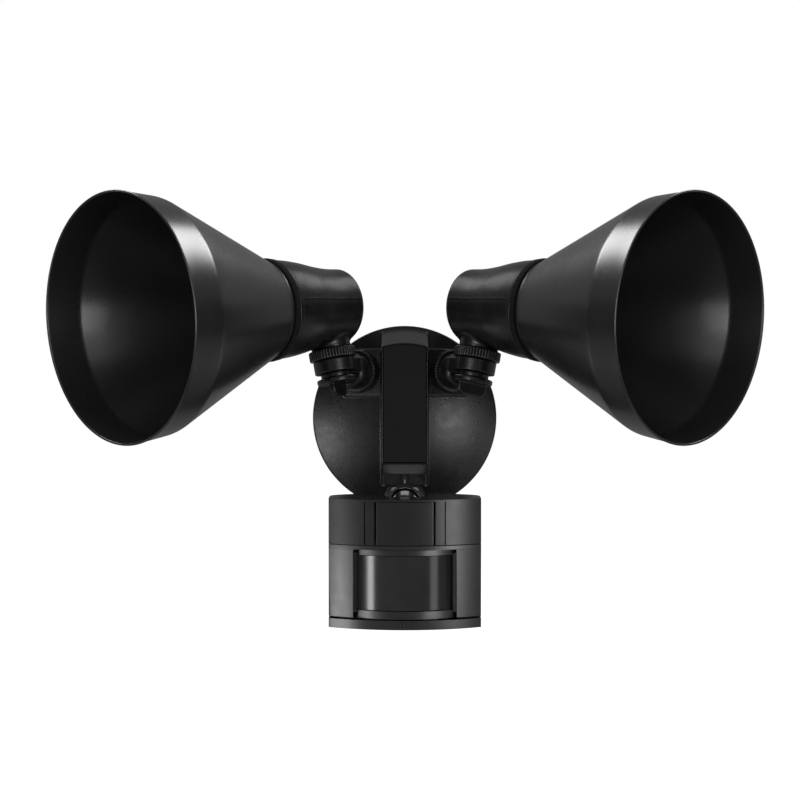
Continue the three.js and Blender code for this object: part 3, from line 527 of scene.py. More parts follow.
def canopy_field(p):
    x, y, z = p.T
    outside = canopy_outside(p)
    inside = np.maximum(outside + CASTING, z - BLOCK_FRONT + COVER_THICK + CASTING)
    shell = cut_round(outside, inside, 0.5)
    centre = np.hypot(x, y)
    boss = np.maximum(centre - BOSS_R, within(z, BOSS_LOW, BOSS_HIGH))
    shell = meet_round(join_round(shell, boss, 1), CANOPY_BACK - z, 0.3)
    seat = common(np.abs(x) - COVER_HALF - GAP, BAR_LOW + 1 - GAP - y, centre - BLOCK_TOP_R + 1 - GAP,
                  BLOCK_FRONT - COVER_THICK - GAP - z)
    shell = cut_round(shell, seat, 0.15)
    bolt = np.minimum(centre - BOLT_HOLE_R, np.maximum(centre - BOLT_HEAD_R, BOLT_SEAT - z))
    shell = cut_round(shell, bolt, 0.2)
    side = np.where(x < 0, -1, 1)
    u = (x - side * NUT_X) * math.cos(ARM_YAW) - side * (z - NUT_OUT) * math.sin(ARM_YAW)
    w = side * (x - side * NUT_X) * math.sin(ARM_YAW) + (z - NUT_OUT) * math.cos(ARM_YAW)
    arm_hole = np.maximum(np.hypot(u, y - NUT_Z) - THREAD_R - GAP, within(w, -8, 4))
    shell = cut_round(shell, arm_hole, 0.4)
    along = (y - BALL_Y) * STUD_RISE / STUD_LEAN - (z - BALL_OUT) * STUD_BACK / STUD_LEAN
    away = np.sqrt(np.maximum(x ** 2 + (y - BALL_Y) ** 2 + (z - BALL_OUT) ** 2 - along ** 2, 0))
    stud = np.maximum(away - STUD_R - GAP, within(along, BALL_R, STUD_LENGTH + 1))
    return cut_round(shell, stud, 0.3)


def make_canopy():
    low = (-CANOPY_R, -CANOPY_R, CANOPY_BACK)
    high = (CANOPY_R, CANOPY_R, BLOCK_FRONT)
    shell = cast_shape("canopy_casting", canopy_field, low, high, 0.62, CANOPY_FRAME)
    piece(shell, "canopy", "cast_black", "canopy")


def make_cover():
    """Flat plate let into the bar, with its top cut to the block's round edge."""
    radius = BLOCK_TOP_R - 1
    reach = math.asin(COVER_HALF / radius)
    arc = [(radius * math.sin(a), radius * math.cos(a)) for a in np.linspace(reach, -reach, 41)]
    outline = [(-COVER_HALF, BAR_LOW + 1), (COVER_HALF, BAR_LOW + 1), *arc]
    plate = extruded("bar_cover", outline, BLOCK_FRONT - COVER_THICK, BLOCK_FRONT, CANOPY_FRAME)
    piece(soften(plate, 0.3), "canopy", "cast_black", "spine_cover")


def make_wall_parts():
    outer = CANOPY_R - 1
    profile = band_profile(outer - SEAL_WIDTH, outer, 0, CANOPY_BACK - GAP)
    seal = turned("foam_wall_seal", profile, 0.5, 128, CANOPY_FRAME)
    piece(seal, "canopy", "seal_rubber", "wall_gasket")
    across = STRAP_WIDTH / 2
    strap = box("mounting_bar", (-STRAP_HALF, -across, GAP), (STRAP_HALF, across, GAP + STRAP_THICK),
                CANOPY_FRAME)
    reach, half = STRAP_SLOT_LENGTH / 2, STRAP_SLOT_WIDTH / 2
    slots = [box("slot", (x - reach, -half, -1), (x + reach, half, 4), CANOPY_FRAME)
             for x in (-STRAP_SLOT_X, STRAP_SLOT_X)]
    holes = [cylinder("hole", BOLT_HOLE_R, -1, 4, CANOPY_FRAME),
             cylinder("hole", GROUND_HOLE_R, -1, 4, shifted(CANOPY_FRAME, GROUND_X, 0, 0))]
    strap = soften(combine(strap, *slots, *holes), 0.2)
    piece(strap, "canopy", "zinc_steel", "mounting_strap")


# ---------- arms: Z along the arm, Y up the lamp's stem ----------

def arm_field(p):
    x, y, z = p.T
    around = np.hypot(x, y)
    collar = NUT_HEIGHT + 2 * GAP
    barrel = meet_round(meet_round(around - ARM_R, z - ARM_END, 3.2), collar - z, 0.4)
    outline = np.minimum(common(np.abs(x) - ARM_R + 0.6, z - ARM_LENGTH, 13 - z),
                         np.hypot(x, z - ARM_LENGTH) - LUG_R)
    lug = meet_round(outline, within(y, LUG_LOW, LUG_HIGH), 0.8)
    thread = meet_round(around - THREAD_R + wave(z, THREAD_PITCH, 0.25), within(z, -7, collar + 1), 0.4)
    solid = np.minimum(join_round(barrel, lug, 1.6), thread)
    bore = np.maximum(around - WIRE_BORE_R, within(z, -9, ARM_END - 6))
    hole = np.hypot(x, z - ARM_LENGTH) - SWIVEL_HOLE_R
    return cut_round(cut_round(solid, bore, 0.3), hole, 0.4)


def thumb_field(turn):
    """Field of a wing screw whose wing is turned about its axis."""
    def field(p):
        x, y, z = p.T
        z = z - ARM_LENGTH
        around = np.hypot(x, z)
        along = x * math.cos(turn) - z * math.sin(turn)
        across = x * math.sin(turn) + z * math.cos(turn)
        flange = meet_round(around - FLANGE_R, within(y, FLANGE_LOW, FLANGE_TOP), 0.9)
        reach = within(along, -WING_WIDTH / 2, WING_WIDTH / 2)
        drop = within(y, FLANGE_LOW - WING_HEIGHT, FLANGE_LOW + 1.5)
        # The root of the wing stays square: only its lower corners are rounded.
        corner = np.where(y < FLANGE_LOW - 1, meet_round(reach, drop, WING_CORNER),
                          np.maximum(reach, drop))
        wing = meet_round(corner, np.abs(across) - WING_THICK / 2, 0.9)
        shank = np.maximum(around - SCREW_R, within(y, FLANGE_TOP - 1, LUG_HIGH + 9))
        return join_round(join_round(flange, wing, 0.8), shank, 0.3)
    return field


def ribbed(name, outer, inner, low, high, matrix, depth):
    """Nut with rounded ribs all round and eased ends."""
    def rib(r, z, angle):
        if r < inner + 1.2:
            return r
        fade = min(1, min(z - low, high - z) / 0.8 + 0.15)
        crest = abs(math.sin(RIBS * angle / 2)) ** 0.7
        return r - depth * (1 - crest) * max(0, fade) * (r - inner) / (outer - inner)
    rows = [low + 0.7 + (high - low - 1.4) * k / 6 for k in range(7)]
    profile = [(inner, low), (outer - 0.9, low), (outer - 0.25, low + 0.25)]
    profile += [(outer, z) for z in rows]
    profile += [(outer - 0.25, high - 0.25), (outer - 0.9, high), (inner, high)]
    points, faces = revolve(profile, RIBS * 8, rib)
    return weld(new_object(name, points, faces, matrix), 50)


def make_arm(tag):
    place, arm_body, slot = ARM_FRAME[tag], "arm_" + tag, "cast_black"
    low = (-LUG_R, -ARM_R, -7)
    high = (LUG_R, ARM_R, ARM_LENGTH + LUG_R)
    arm = cast_shape("swivel_arm_" + tag, arm_field, low, high, 0.42, place)
    piece(arm, arm_body, slot, "arm_" + tag)
    bore = THREAD_R + GAP
    nut = ribbed("lock_nut_" + tag, NUT_R, bore, GAP, GAP + NUT_HEIGHT, place, RIB_DEPTH)
    piece(nut, "arm_nut_" + tag, slot, "arm_nut_" + tag)
    low = (-12, FLANGE_LOW - WING_HEIGHT, ARM_LENGTH - 12)
    high = (12, LUG_HIGH + 9, ARM_LENGTH + 12)
    thumb = cast_shape("wing_screw_" + tag, thumb_field(WING_TURN[tag]), low, high, 0.4, place)
    piece(thumb, "thumb_screw_" + tag, slot, "thumb_screw_" + tag)
    swivel = shifted(place, 0, 0, ARM_LENGTH) @ Matrix.Rotation(-math.pi / 2, 4, "X")
    profile = band_profile(SCREW_R + GAP, WASHER_R, FLANGE_TOP + GAP, LUG_LOW - GAP)
    washer = turned("swivel_washer_" + tag, profile, 0.4, 64, swivel)
    piece(washer, arm_body, slot, "thumb_washer_" + tag)
    start = LUG_HIGH + GAP
    stem_nut = ribbed("stem_lock_nut_" + tag, STEM_NUT_R, bore, start, start + STEM_NUT_HEIGHT, swivel,
                      STEM_RIB_DEPTH)
    piece(stem_nut, "stem_nut_" + tag, slot, "stem_nut_" + tag)


# ---------- lamp: Z along the lamp, Y up the stem ----------

def holder_field(p):
    x, y, z = p.T
    r = np.hypot(x, y)
    bell = (r - smooth_curve(z, HOLDER_CURVE)) * 0.985
    seam = 0.12 * np.exp(-((y / 0.35) ** 2))  # parting line along both sides
    outside = meet_round(bell - seam, HOLDER_REAR - z, 3.4)
    lip = meet_round(r - HOLDER_LIP_R, HOLDER_LIP - 2.6 - z, 0.4)
    outside = meet_round(join_round(outside, lip, 0.5), z - HOLDER_LIP, 0.35)
    low = LUG_HIGH + GAP - STEM_LENGTH
    around = np.hypot(x, z)
    stem = np.maximum(meet_round(around - STEM_R, low + STEM_NUT_HEIGHT + GAP - y, 0.4), y + 12)
    thread = meet_round(around - THREAD_R + wave(y, THREAD_PITCH, 0.25), low - y, 0.4)
    thread = np.maximum(thread, y + 12)
    solid = np.minimum(join_round(outside, stem, 2.2), thread)
    inside = common(bell + HOLDER_WALL, HOLDER_REAR + HOLDER_WALL - z, z - HOLDER_LIP - 2)
    solid = cut_round(solid, inside, 0.3)
    bore = np.maximum(around - WIRE_BORE_R, within(y, low + 3, -5))
    hole = np.maximum(around - SWIVEL_HOLE_R, y + 5)
    return cut_round(cut_round(solid, bore, 0.3), hole, 0.3)


def shade_profile():
    """Closed (radius, height) profile of the spun sheet: neck, cone, crease and rim."""
    hole = SOCKET_R + 0.6
    floor = NECK + SHEET
    outside = [(hole, NECK), (NECK_R, NECK), (NECK_R + 0.8, NECK + 2.6), (CREASE_R, CREASE),
               (MOUTH_R - 0.1, MOUTH - 1.4), (MOUTH_R + 0.45, MOUTH - 0.7), (MOUTH_R + 0.1, MOUTH)]
    inside = [(MOUTH_R - SHEET + 0.2, MOUTH - 0.5), (MOUTH_R - SHEET, MOUTH - 1.6),
              (CREASE_R - SHEET, CREASE + 0.3), (NECK_R - 0.2, NECK + 3), (NECK_R - 1.2, floor),
              (hole, floor)]
    radii = [0.2, 0.9, 1.0, 1.6, 0.4, 0.3, 0.3, 0.3, 0.4, 1.6, 1.0, 0.6, 0.2]
    return outside + inside, radii


def subdivide_profile(profile, longest):
    """Adds points so that no stretch of a closed profile is longer than the given length."""
    result = []
    for (r, z), (r1, z1) in zip(profile, profile[1:] + profile[:1]):
        parts = max(1, math.ceil(math.dist((r, z), (r1, z1)) / longest))
        result += [(r + (r1 - r) * k / parts, z + (z1 - z) * k / parts) for k in range(parts)]
    return result


def make_lamp(tag):
    place = LAMP_FRAME[tag]
    body = "lamp_" + tag
    low = (-HOLDER_LIP_R, LUG_HIGH + GAP - STEM_LENGTH, HOLDER_REAR)
    high = (HOLDER_LIP_R, HOLDER_LIP_R, HOLDER_LIP)
    holder = cast_shape("lamp_housing_" + tag, holder_field, low, high, 0.7, place)
    piece(holder, body, "cast_black", "lamp_holder_" + tag)
    start = HOLDER_LIP + GAP
    profile = band_profile(HOLDER_LIP_R - 5, HOLDER_LIP_R + 0.4, start, start + GASKET_THICK)
    seal = turned("lip_seal_" + tag, profile, 0.7, 128, place)
    piece(seal, body, "seal_rubber", "holder_gasket_" + tag)
    profile, radii = shade_profile()
    points, faces = revolve(subdivide_profile(rounded_ring(profile, radii, 5), 8), 160)
    bell = weld(new_object("bell_shade_" + tag, points, faces, place), 60)
    piece(bell, body, "black_enamel", "shade_" + tag)
    make_socket(tag, body, place)


def make_socket(tag, body, place):
    base, well, front = SOCKET_R - 8, SHELL_R + 0.6, NECK + 6
    profile = [(0, SOCKET_BACK), (base, SOCKET_BACK), (base, 8), (SOCKET_R, 14), (SOCKET_R, front),
               (well, front), (well, SOCKET_FLOOR + 2), (well - 1.6, SOCKET_FLOOR), (0, SOCKET_FLOOR)]
    radii = [0, 1, 2, 2, 1.2, 0.8, 0.6, 0.6, 0]
    socket = turned("socket_porcelain_" + tag, profile, radii, 96, place)
    piece(socket, body, "porcelain", "socket_body_" + tag)

    low, high, rows = SOCKET_FLOOR + 2.4, front - 1.5, 60
    plain = 2.5 * (high - low) / (rows - 1)  # length without thread at both ends

    def thread(r, z, angle):
        if not low + plain < z < high - plain:
            return r
        return r + SHELL_RIPPLE * math.cos(2 * math.pi * z / SHELL_PITCH - angle)
    heights = np.linspace(low, high, rows)
    walls = [(SHELL_R - 0.35, z) for z in heights] + [(SHELL_R - 0.75, z) for z in heights[::-1]]
    points, faces = revolve(walls, 72, thread)
    shell = weld(new_object("threaded_shell_" + tag, points, faces, place), 60)
    piece(shell, body, "aluminium", "screw_shell_" + tag)

    start = NECK + SHEET + GAP
    profile = band_profile(SOCKET_R + 0.4, SOCKET_R + 5, start, start + 3)
    ring = turned("shade_lock_ring_" + tag, profile, 0.6, 96, place)
    piece(ring, body, "aluminium", "shade_ring_" + tag)
    low = SOCKET_FLOOR + GAP
    profile = [(0, low), (4.5, low), (4.5, low + 1), (3, low + 2.3), (0, low + 2.5)]
    tip = turned("contact_tip_" + tag, profile, [0, 0.2, 0.4, 0.8, 0], 48, place)
    piece(tip, body, "brass", "center_contact_" + tag)


# ---------- ball joint: origin at the ball, X right, -Y to the front, Z up ----------

def neck_wedge(x, y, z, low):
    """Room behind the ball that its leaning neck sweeps."""
    slope = math.atan2(20, 22)  # how fast it widens to the back
    flank = np.abs(x) * math.cos(slope) - (y + 4) * math.sin(slope)
    return common(flank, low - z, y - 18)


def dish(p, inner, outer, top, low, edge):
    """Part of a hollow sphere between two angles from its top, with rounded edges."""
    x, y, z = p.T
    away = np.sqrt(x ** 2 + y ** 2 + z ** 2)
    shell = meet_round(away - outer, inner - away, 0.3)
    low, top = outer * math.cos(math.radians(low)), outer * math.cos(math.radians(top))
    return meet_round(shell, within(z, low, top), edge)


def stud_field(p):
    x, y, z = p.T
    ball = np.sqrt(x ** 2 + y ** 2 + z ** 2) - BALL_R
    along = (z * STUD_RISE + y * STUD_BACK) / STUD_LEAN
    away = np.sqrt(np.maximum(x ** 2 + y ** 2 + z ** 2 - along ** 2, 0))
    thread = wave(along, 1.1, 0.2) * (along > 22)
    neck = meet_round(away - STUD_R + thread, within(along, 4, STUD_LENGTH), 0.4)
    return join_round(ball, neck, 1.6)


def liner_field(p):
    shell = dish(p, BALL_R + GAP, LINER_R, 14, 124, 0.25)
    return cut_round(shell, neck_wedge(*p.T, 5.4), 0.25)


def collar_field(p):
    x, y, z = p.T
    shell = dish(p, LINER_R + GAP, COLLAR_R, 44, 126, 0.35)
    around = np.hypot(x, y)
    flange = common(around - COLLAR_FLANGE_R, LINER_R + 1 - around, within(z, -1, HEAD_TOP - WALL - GAP),
                    y - HEAD_BACK + WALL + GAP)
    solid = join_round(shell, flange, 0.4)
    window = np.maximum(np.hypot(x, z + 1) - WINDOW_R, y + 4)
    solid = cut_round(solid, window, 0.35)
    return cut_round(solid, neck_wedge(x, y, z, NOTCH_LOW + 0.5), 0.3)


def make_ball_joint():
    r, slot = BALL_R, "gloss_black"
    stud = cast_shape("ball_stem", stud_field, (-r, -r, -r), (r, 24, 28), 0.4, BALL_FRAME)
    piece(stud, "canopy", slot, "ball_stud")
    r = LINER_R
    liner = cast_shape("ball_cup", liner_field, (-r, -r, -r), (r, r, r), 0.4, BALL_FRAME)
    piece(liner, "sensor_yoke", slot, "ball_liner")
    r = COLLAR_FLANGE_R
    collar = cast_shape("ball_dome", collar_field, (-r, -r, -9), (r, r, 11), 0.4, HEAD_FRAME)
    piece(collar, "sensor_head", slot, "ball_collar")


# ---------- sensor head ----------

FRONT_R = (HEAD_HALF ** 2 + HEAD_BULGE ** 2) / (2 * HEAD_BULGE)
FRONT_CENTRE = FRONT_R - HEAD_FRONT
FRONT_STEPS = 57  # points along the bulging front


def arc_points(radius, centre, left, right, steps):
    """Points of a circle about (0, centre), bulging to the front, from left to right."""
    angles = np.linspace(math.asin(left / radius), math.asin(right / radius), steps)
    return [(radius * math.sin(a), centre - radius * math.cos(a)) for a in angles]


def head_outline(inset=0.0):
    """Outline of the head from above, set in by a distance, anticlockwise from the front left."""
    side = HEAD_HALF - inset
    slope = inset * 0.45
    back = HEAD_BACK - inset
    end = HEAD_SIDE_END - slope
    front = arc_points(FRONT_R - inset, FRONT_CENTRE, -side, side, FRONT_STEPS)
    corner = [front[-1], (side, end), (side - 1.5, end + 4), (side - 4.5, end + 7.5),
              (HEAD_BACK_HALF + 3 - slope, back - 1.8), (HEAD_BACK_HALF - 2 - slope, back), (0, back)]
    corner = rounded(corner, [0, 3, 3, 3, 3, 2, 0])[1:-1]
    return front + corner + [(-x, y) for x, y in reversed(corner)]


def cavity(inset, low, high):
    return extruded("cavity", head_outline(inset), low, high, HEAD_FRAME)


def eased_head(name, low, high, ease, lean_low=0.0, lean_high=0.0):
    """The head between two heights with rounded ends. Its front face alone leans back."""
    def edge(z, sign, radius):
        return [(radius * (1 - math.sin(a)), z + sign * radius * (1 - math.cos(a)))
                for a in np.linspace(0, math.pi / 2, 5)]
    rows = edge(low, 1, ease[0]) + edge(high, -1, ease[1])[::-1]
    base = head_outline()
    count = len(base)
    points, faces = [], []
    for inset, z in rows:
        share = (z - low) / (high - low)
        lean = lean_low * (1 - share) + lean_high * share
        points += [(x, y + (lean if i < FRONT_STEPS else 0), z)
                   for i, (x, y) in enumerate(shrink(base, inset))]
    for r in range(len(rows) - 1):
        for i in range(count):
            j = (i + 1) % count
            faces.append((r * count + i, r * count + j, (r + 1) * count + j, (r + 1) * count + i))
    faces.append(tuple(range(count))[::-1])
    faces.append(tuple(range((len(rows) - 1) * count, len(rows) * count)))
    return weld(new_object(name, points, faces, HEAD_FRAME), 32)


def shrink(outline, inset):
    """An outline moved inward along its own normals."""
    result = []
    count = len(outline)
    for i, (x, y) in enumerate(outline):
        ax, ay = outline[i - 1]
        bx, by = outline[(i + 1) % count]
        tx, ty = bx - ax, by - ay
        length = math.hypot(tx, ty)
        result.append((x - inset * ty / length, y + inset * tx / length))
    return result


def behind_slant(inset):
    """Everything behind the head's back, which slants forward below the seam."""
    wedge = box("wedge", (-60, 0, -90), (60, 60, 0), HEAD_FRAME)
    hinge = shifted(HEAD_FRAME, 0, HEAD_BACK - inset, SEAM - 0.5)
    wedge.matrix_world = hinge @ Matrix.Rotation(SLANT, 4, "X")
    return wedge


def front_band(name, half, depth, low, high, middle=0.0, lift=1.0, steps=25):
    """A bent slab from a given depth under the head's front face to a lift above it."""
    left, right = middle - half, middle + half
    outer = arc_points(FRONT_R + lift, FRONT_CENTRE, left, right, steps)
    inner = arc_points(FRONT_R - depth, FRONT_CENTRE, left, right, steps)
    return extruded(name, outer + inner[::-1], low, high, HEAD_FRAME)


def head_piece(ob, width, node):
    """Breaks a head part's edges and puts it on the sensor head, in plastic, in place of its CAD node."""
    piece(soften(ob, width), "sensor_head", "sensor_plastic", node)


def make_upper_housing():
    shell = eased_head("sensor_top_shell", SEAM, HEAD_TOP, (0.15, 0.2), 0.0, 0.7)
    low, high = (-NOTCH_HALF, 7, NOTCH_LOW), (NOTCH_HALF, HEAD_BACK + 2, HEAD_TOP + 1)
    cutters = [cavity(WALL + 0.4, SEAM - 1, HEAD_TOP - WALL),
               cylinder("ball_hole", COLLAR_R + GAP, -1, HEAD_TOP + 1, HEAD_FRAME),
               box("neck_notch", low, high, HEAD_FRAME)]
    for x in (-LINE_X, LINE_X):
        cutters.append(front_band("line", 0.35, 1.7, SEAM - 1, GROOVE_TOP, x, steps=3))
    cutters.append(front_band("panel_seat", PANEL_HALF + 1.3, 2.6, SEAM - 1, GROOVE_TOP))
    combine(shell, *cutters)
    head_piece(shell, 0.18, "upper_housing")
    panel = front_band("sensor_badge_panel", PANEL_HALF, 1.1, SEAM, GROOVE_TOP - GAP, lift=-0.3, steps=41)
    head_piece(panel, 0.2, "front_panel")


def make_lower_housing():
    """Walls round the window, with a raised bead under the seam and a turned-in lower edge."""
    low, high = COVER_SEAM, SEAM - GAP
    step = high - BEAD
    bead = eased_head("sensor_lower_shell", step, high, (0.2, 0.2))
    wall = eased_head("wall", low, step + 0.5, (0.9, 0.1), 1.4, 0.3)
    shell = combine(bead, wall, operation="UNION")
    half = FRAME_HALF + GAP
    window = box("window", (-half, -HEAD_FRONT - 2, low - 1), (half, -10, FRAME_TOP + GAP), HEAD_FRAME)
    inside = combine(cavity(WALL, low - 1, high + 1), behind_slant(WALL))
    combine(shell, behind_slant(0), inside, window)
    head_piece(shell, 0.15, "lower_housing")


def make_lens_frame():
    """Frame bent more tightly than the head, with slanted cheeks down to the lens at both sides."""
    centre = FRAME_FRONT + FRAME_RADIUS
    front = arc_points(FRAME_RADIUS, centre, -FRAME_HALF, FRAME_HALF, 61)
    back = [(x, y + FRAME_DEPTH) for x, y in front[::-1]]
    skin = extruded("sensor_window_frame", front + back, COVER_SEAM + GAP, FRAME_TOP, HEAD_FRAME)
    half, low, high = LENS_HALF + 1.3, LENS_LOW - GAP, LENS_TOP + GAP
    hole = box("opening", (-half, -HEAD_FRONT - 3, low), (half, 0, high), HEAD_FRAME)
    combine(skin, hole)
    cheek = [(half, -24.6), (FRAME_HALF, -26.6), (FRAME_HALF, -21), (half, -21)]
    for side in (-1, 1):
        outline = [(side * x, y) for x, y in cheek][::side]
        combine(skin, extruded("cheek", outline, low - 1, high + 1, HEAD_FRAME), operation="UNION")
    head_piece(skin, 0.3, "lens_frame")


def make_lens():
    centre, half = -HEAD_FRONT + 1.2 + LENS_RADIUS, LENS_HALF + 1
    outer = arc_points(LENS_RADIUS, centre, -half, half, 65)
    thin = LENS_RADIUS - LENS_THICK
    edge = half * thin / LENS_RADIUS
    inner = arc_points(thin, centre, -edge, edge, 65)[::-1]
    front = outer[0][1] + LENS_STEP
    back, wall, flange = front + LENS_THICK, inner[0][0], FRAME_HALF - 0.6
    outline = [(-flange, front), (-half, front), *outer, (half, front), (flange, front),
               (flange, back), (wall, back), *inner, (-wall, back), (-flange, back)]
    lens = extruded("sensor_window", outline, LENS_LOW, LENS_TOP, HEAD_FRAME)
    piece(soften(lens, 0.2), "sensor_head", "lens_plastic", "sensor_lens")


def make_bottom_cover():
    top = COVER_SEAM - GAP
    shell = eased_head("sensor_base_plate", HEAD_BOTTOM, top, (0.25, 0.2), 0.3, 0.0)
    slot_low = (SWITCH_X - SWITCH_HALF - GAP, CONTROL_Y - 2.5, HEAD_BOTTOM - 1)
    slot_high = (SWITCH_X + SWITCH_TRAVEL + SWITCH_HALF + GAP, CONTROL_Y + 2.5, HEAD_BOTTOM + 3)
    inside = combine(cavity(WALL + 0.4, HEAD_BOTTOM + 2, top + 1), behind_slant(WALL))
    dial = shifted(HEAD_FRAME, DIAL_X, CONTROL_Y, 0)
    mark = front_band("mark", 0.25, 0.8, HEAD_BOTTOM + 1.6, COVER_SEAM - 1.6, -2.2, steps=3)
    combine(shell, behind_slant(0), inside, box("slot", slot_low, slot_high, HEAD_FRAME),
            cylinder("dial_hole", DIAL_R + GAP, HEAD_BOTTOM - 1, HEAD_BOTTOM + 3, dial), mark)
    head_piece(shell, 0.2, "bottom_cover")


def make_controls():
    place = shifted(HEAD_FRAME, DIAL_X, CONTROL_Y, 0)
    low, high = HEAD_BOTTOM + 0.2, HEAD_BOTTOM + 4.4

    def grip(r, z, angle):
        return r - 0.25 * (0.5 + 0.5 * math.cos(24 * angle)) if r > DIAL_R - 1 and z < low + 3 else r
    profile = subdivide_profile(band_profile(0, DIAL_R, low, high), 1.2)
    dial = turned("range_knob", profile, 0.3, 96, place, grip)
    slot = box("slot", (-4, -0.6, HEAD_BOTTOM - 1), (4, 0.6, HEAD_BOTTOM + 1.2), place)
    piece(soften(combine(dial, slot), 0), "range_dial", "sensor_plastic", "range_dial")
    place = shifted(HEAD_FRAME, SWITCH_X, CONTROL_Y, 0)
    half = SWITCH_HALF
    knob = box("time_slider", (-half, -2.1, HEAD_BOTTOM + 0.2), (half, 2.1, HEAD_BOTTOM + 3.2), place)
    foot = box("foot", (-half, -3.5, HEAD_BOTTOM + 2.3), (half, 3.5, HEAD_BOTTOM + 3.6), place)
    combine(knob, foot, operation="UNION")
    ribs = [box("rib", (x - 0.2, -3, HEAD_BOTTOM), (x + 0.2, 3, HEAD_BOTTOM + 0.55), place)
            for x in (-1.1, 0, 1.1)]
    combine(knob, *ribs)
    piece(soften(knob, 0.12), "time_switch", "sensor_plastic", "time_switch")


# ---------- hidden pieces keep their CAD shape and get a finish and broken edges ----------

HIDDEN = {
    "zinc_steel": ("center_bolt", "stud_nut", "retainer_screw_left", "retainer_screw_right",
                   "heat_sensor", "swivel_nut_left", "swivel_nut_right"),
    "green_zinc": ("ground_screw",),
    "sensor_plastic": ("collar_retainer",),
    "circuit_board": ("main_board", "power_board"),
    "gloss_black": ("relay", "capacitor", "photocell"),
}


def finish_hidden(name, material):
    ob = frame["nodes"][name]
    ob.data.materials.clear()
    ob.data.materials.append(material)
    bevel = ob.modifiers.new("edges", "BEVEL")
    bevel.width = 0.25 * MM
    bevel.segments = 2
    bevel.limit_method = "ANGLE"
    bevel.angle_limit = math.radians(40)


# ---------- stage, in metres ----------

FLOOR_Z = -0.8
WORLD_LEVEL = 0.25  # how bright the white backdrop looks in reflections
SHADES = ("bell_shade_left", "bell_shade_right")
CAP = ("sensor_top_shell", "sensor_badge_panel")
BODY = ("sensor_lower_shell", "sensor_window_frame", "sensor_base_plate")
JOINT = ("ball_dome", "ball_cup", "ball_stem")
LAMP_SIDE = ("bell_shade_", "lamp_housing_", "swivel_arm_", "lock_nut_", "stem_lock_nut_", "wing_screw_",
             "swivel_washer_")


def make_stage():
    """Pale floor well below the part. The part's surfaces don't see it, so their undersides stay dark."""
    bpy.ops.mesh.primitive_plane_add(size=40, location=(0, 0, FLOOR_Z))
    floor = bpy.context.object
    floor.name = "studio_floor"
    s = Surface("studio_floor", (0.9, 0.9, 0.9), 0.8, specular=0.2)
    s.vary_color(s.noise(400, 2), (0.89, 0.89, 0.89), (0.91, 0.91, 0.91))
    s.inputs["Emission Color"].default_value = (1, 1, 1, 1)
    s.inputs["Emission Strength"].default_value = 0.9
    floor.data.materials.append(s.material)
    floor.visible_glossy = floor.visible_diffuse = False


def make_world():
    """White backdrop whose reflection is dim, as in a black tent with a white sweep."""
    world = bpy.data.worlds.new("studio")
    bpy.context.scene.world = world
    world.use_nodes = True
    tree = world.node_tree
    seen = tree.nodes.new("ShaderNodeLightPath")
    mix = tree.nodes.new("ShaderNodeMix")
    mix.data_type = "RGBA"
    mix.inputs["A"].default_value = (WORLD_LEVEL, WORLD_LEVEL, WORLD_LEVEL, 1)
    mix.inputs["B"].default_value = (1, 1, 1, 1)
    tree.links.new(seen.outputs["Is Camera Ray"], mix.inputs["Factor"])
    tree.links.new(mix.outputs["Result"], tree.nodes["Background"].inputs["Color"])


def softbox(name, azimuth, elevation, distance, width, height, radiance):
    """A flat light that faces the object. Azimuth runs to the right of the view, in degrees."""
    a, e = math.radians(azimuth), math.radians(elevation)
    way = Vector((math.sin(a) * math.cos(e), -math.cos(a) * math.cos(e), math.sin(e)))
    light = bpy.data.lights.new(name, "AREA")
    light.shape = "RECTANGLE"
    light.size, light.size_y = width, height
    light.energy = radiance * math.pi * width * height
    ob = bpy.data.objects.new(name, light)
    bpy.context.scene.collection.objects.link(ob)
    ob.location = way * distance
    ob.rotation_euler = way.to_track_quat("Z", "Y").to_euler()
    return ob


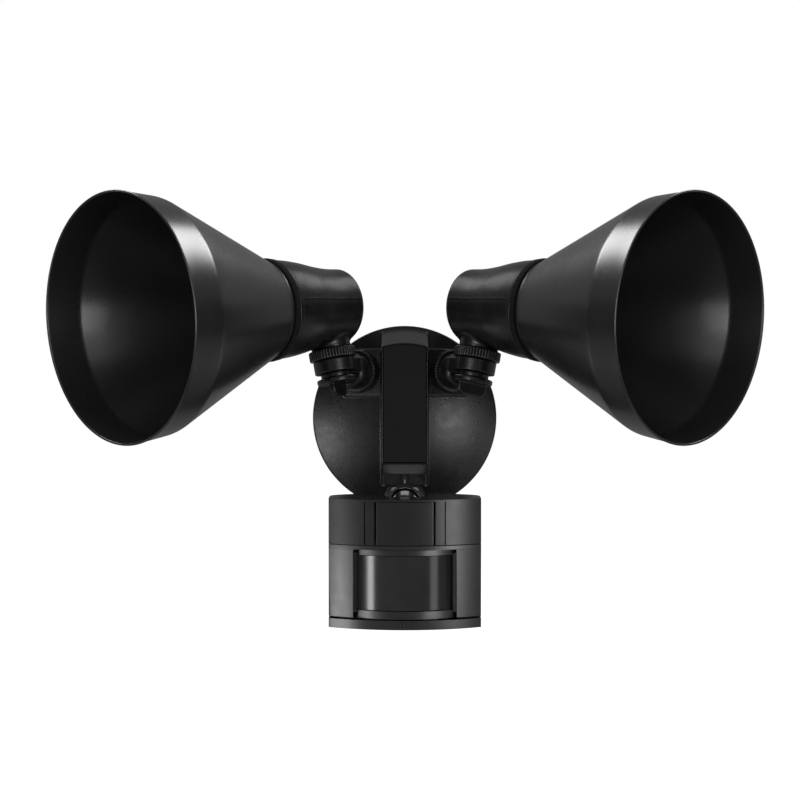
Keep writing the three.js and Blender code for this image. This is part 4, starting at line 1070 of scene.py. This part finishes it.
def make_lights():
    """Boxes behind both shoulders, and boxes that each reach a few pieces only.

    Each row has a name, azimuth and elevation in degrees, distance, width, height and radiance."""
    for name, side in SIDES.items():
        softbox("back_" + name, side * 122, 48, 1.5, 0.7, 0.65, 2)
        softbox("low_" + name, side * 115, -21, 1.6, 0.5, 0.45, 0.4)
        only(softbox("shade_" + name, side * 122, 48, 1.5, 0.62, 0.55, 11), SHADES)
        inner = softbox("inner_" + name, side * 30, 0, 1.6, 0.52, 0.75, 6)
        lit = "left" if name == "right" else "right"
        only(inner, [kind + lit for kind in LAMP_SIDE], shaded=True)
    only(softbox("bells_front", 0, 12, 1.7, 2.4, 1.6, 1.5), SHADES, shaded=True)
    softbox("left_strip", -57, -10, 1.6, 0.3, 0.7, 2.5)
    softbox("right_strip", 46, -8, 1.6, 0.32, 0.9, 1.9)
    for pieces, *box_at in (
            (["sensor_window"], "window_left", -54, -7, 1.6, 0.28, 0.8, 8),
            (CAP, "cap_left", -52, -20, 1.6, 0.42, 0.34, 8),
            (BODY, "body_left", -55, -20, 1.6, 0.42, 0.34, 17),
            (CAP, "cap_right", 37, -2, 1.6, 0.42, 0.6, 6),
            (BODY, "body_right", 37, -4, 1.6, 0.42, 0.6, 9.5),
            (["canopy_casting"], "dome_left", -36, -10, 1.6, 0.34, 0.34, 9),
            (["canopy_casting"], "dome_right", 21, -3, 1.6, 0.28, 0.4, 7.5),
            (["canopy_casting"], "bar_under", 0, -80, 1.4, 0.8, 0.8, 1.1),
            (JOINT, "joint_top", 0, 58, 1.5, 1.2, 0.9, 5),
            (JOINT, "joint_left", -75, 20, 1.5, 0.4, 0.5, 7),
            (JOINT, "joint_right", 75, 20, 1.5, 0.4, 0.5, 7)):
        only(softbox(*box_at), pieces)


def only(light, names, shaded=False):
    """Lets a light reach the named pieces alone. Other pieces stand in its way only if it is shaded."""
    group = bpy.data.collections.new(light.name + "_pieces")
    for name in names:
        group.objects.link(bpy.data.objects[name])
    light.light_linking.receiver_collection = group
    if not shaded:
        light.light_linking.blocker_collection = group


def make_camera():
    data = bpy.data.cameras.new("camera")
    data.lens, data.sensor_width = 86.4, 36
    data.clip_start, data.clip_end = 0.05, 60
    camera = bpy.data.objects.new("camera", data)
    bpy.context.scene.collection.objects.link(camera)
    camera.location = (-0.0029, -1.2, 0.011)
    camera.rotation_euler = (math.pi / 2, 0, 0)
    bpy.context.scene.camera = camera


make_camera()
make_canopy()
make_cover()
make_wall_parts()
for tag in SIDES:
    make_arm(tag)
    make_lamp(tag)
make_ball_joint()
make_upper_housing()
make_lower_housing()
make_lens_frame()
make_lens()
make_bottom_cover()
make_controls()
for slot, names in HIDDEN.items():
    for name in names:
        finish_hidden(name, MATERIALS[slot])
make_stage()
make_world()
make_lights()
bpy.context.scene.view_settings.view_transform = "Standard"
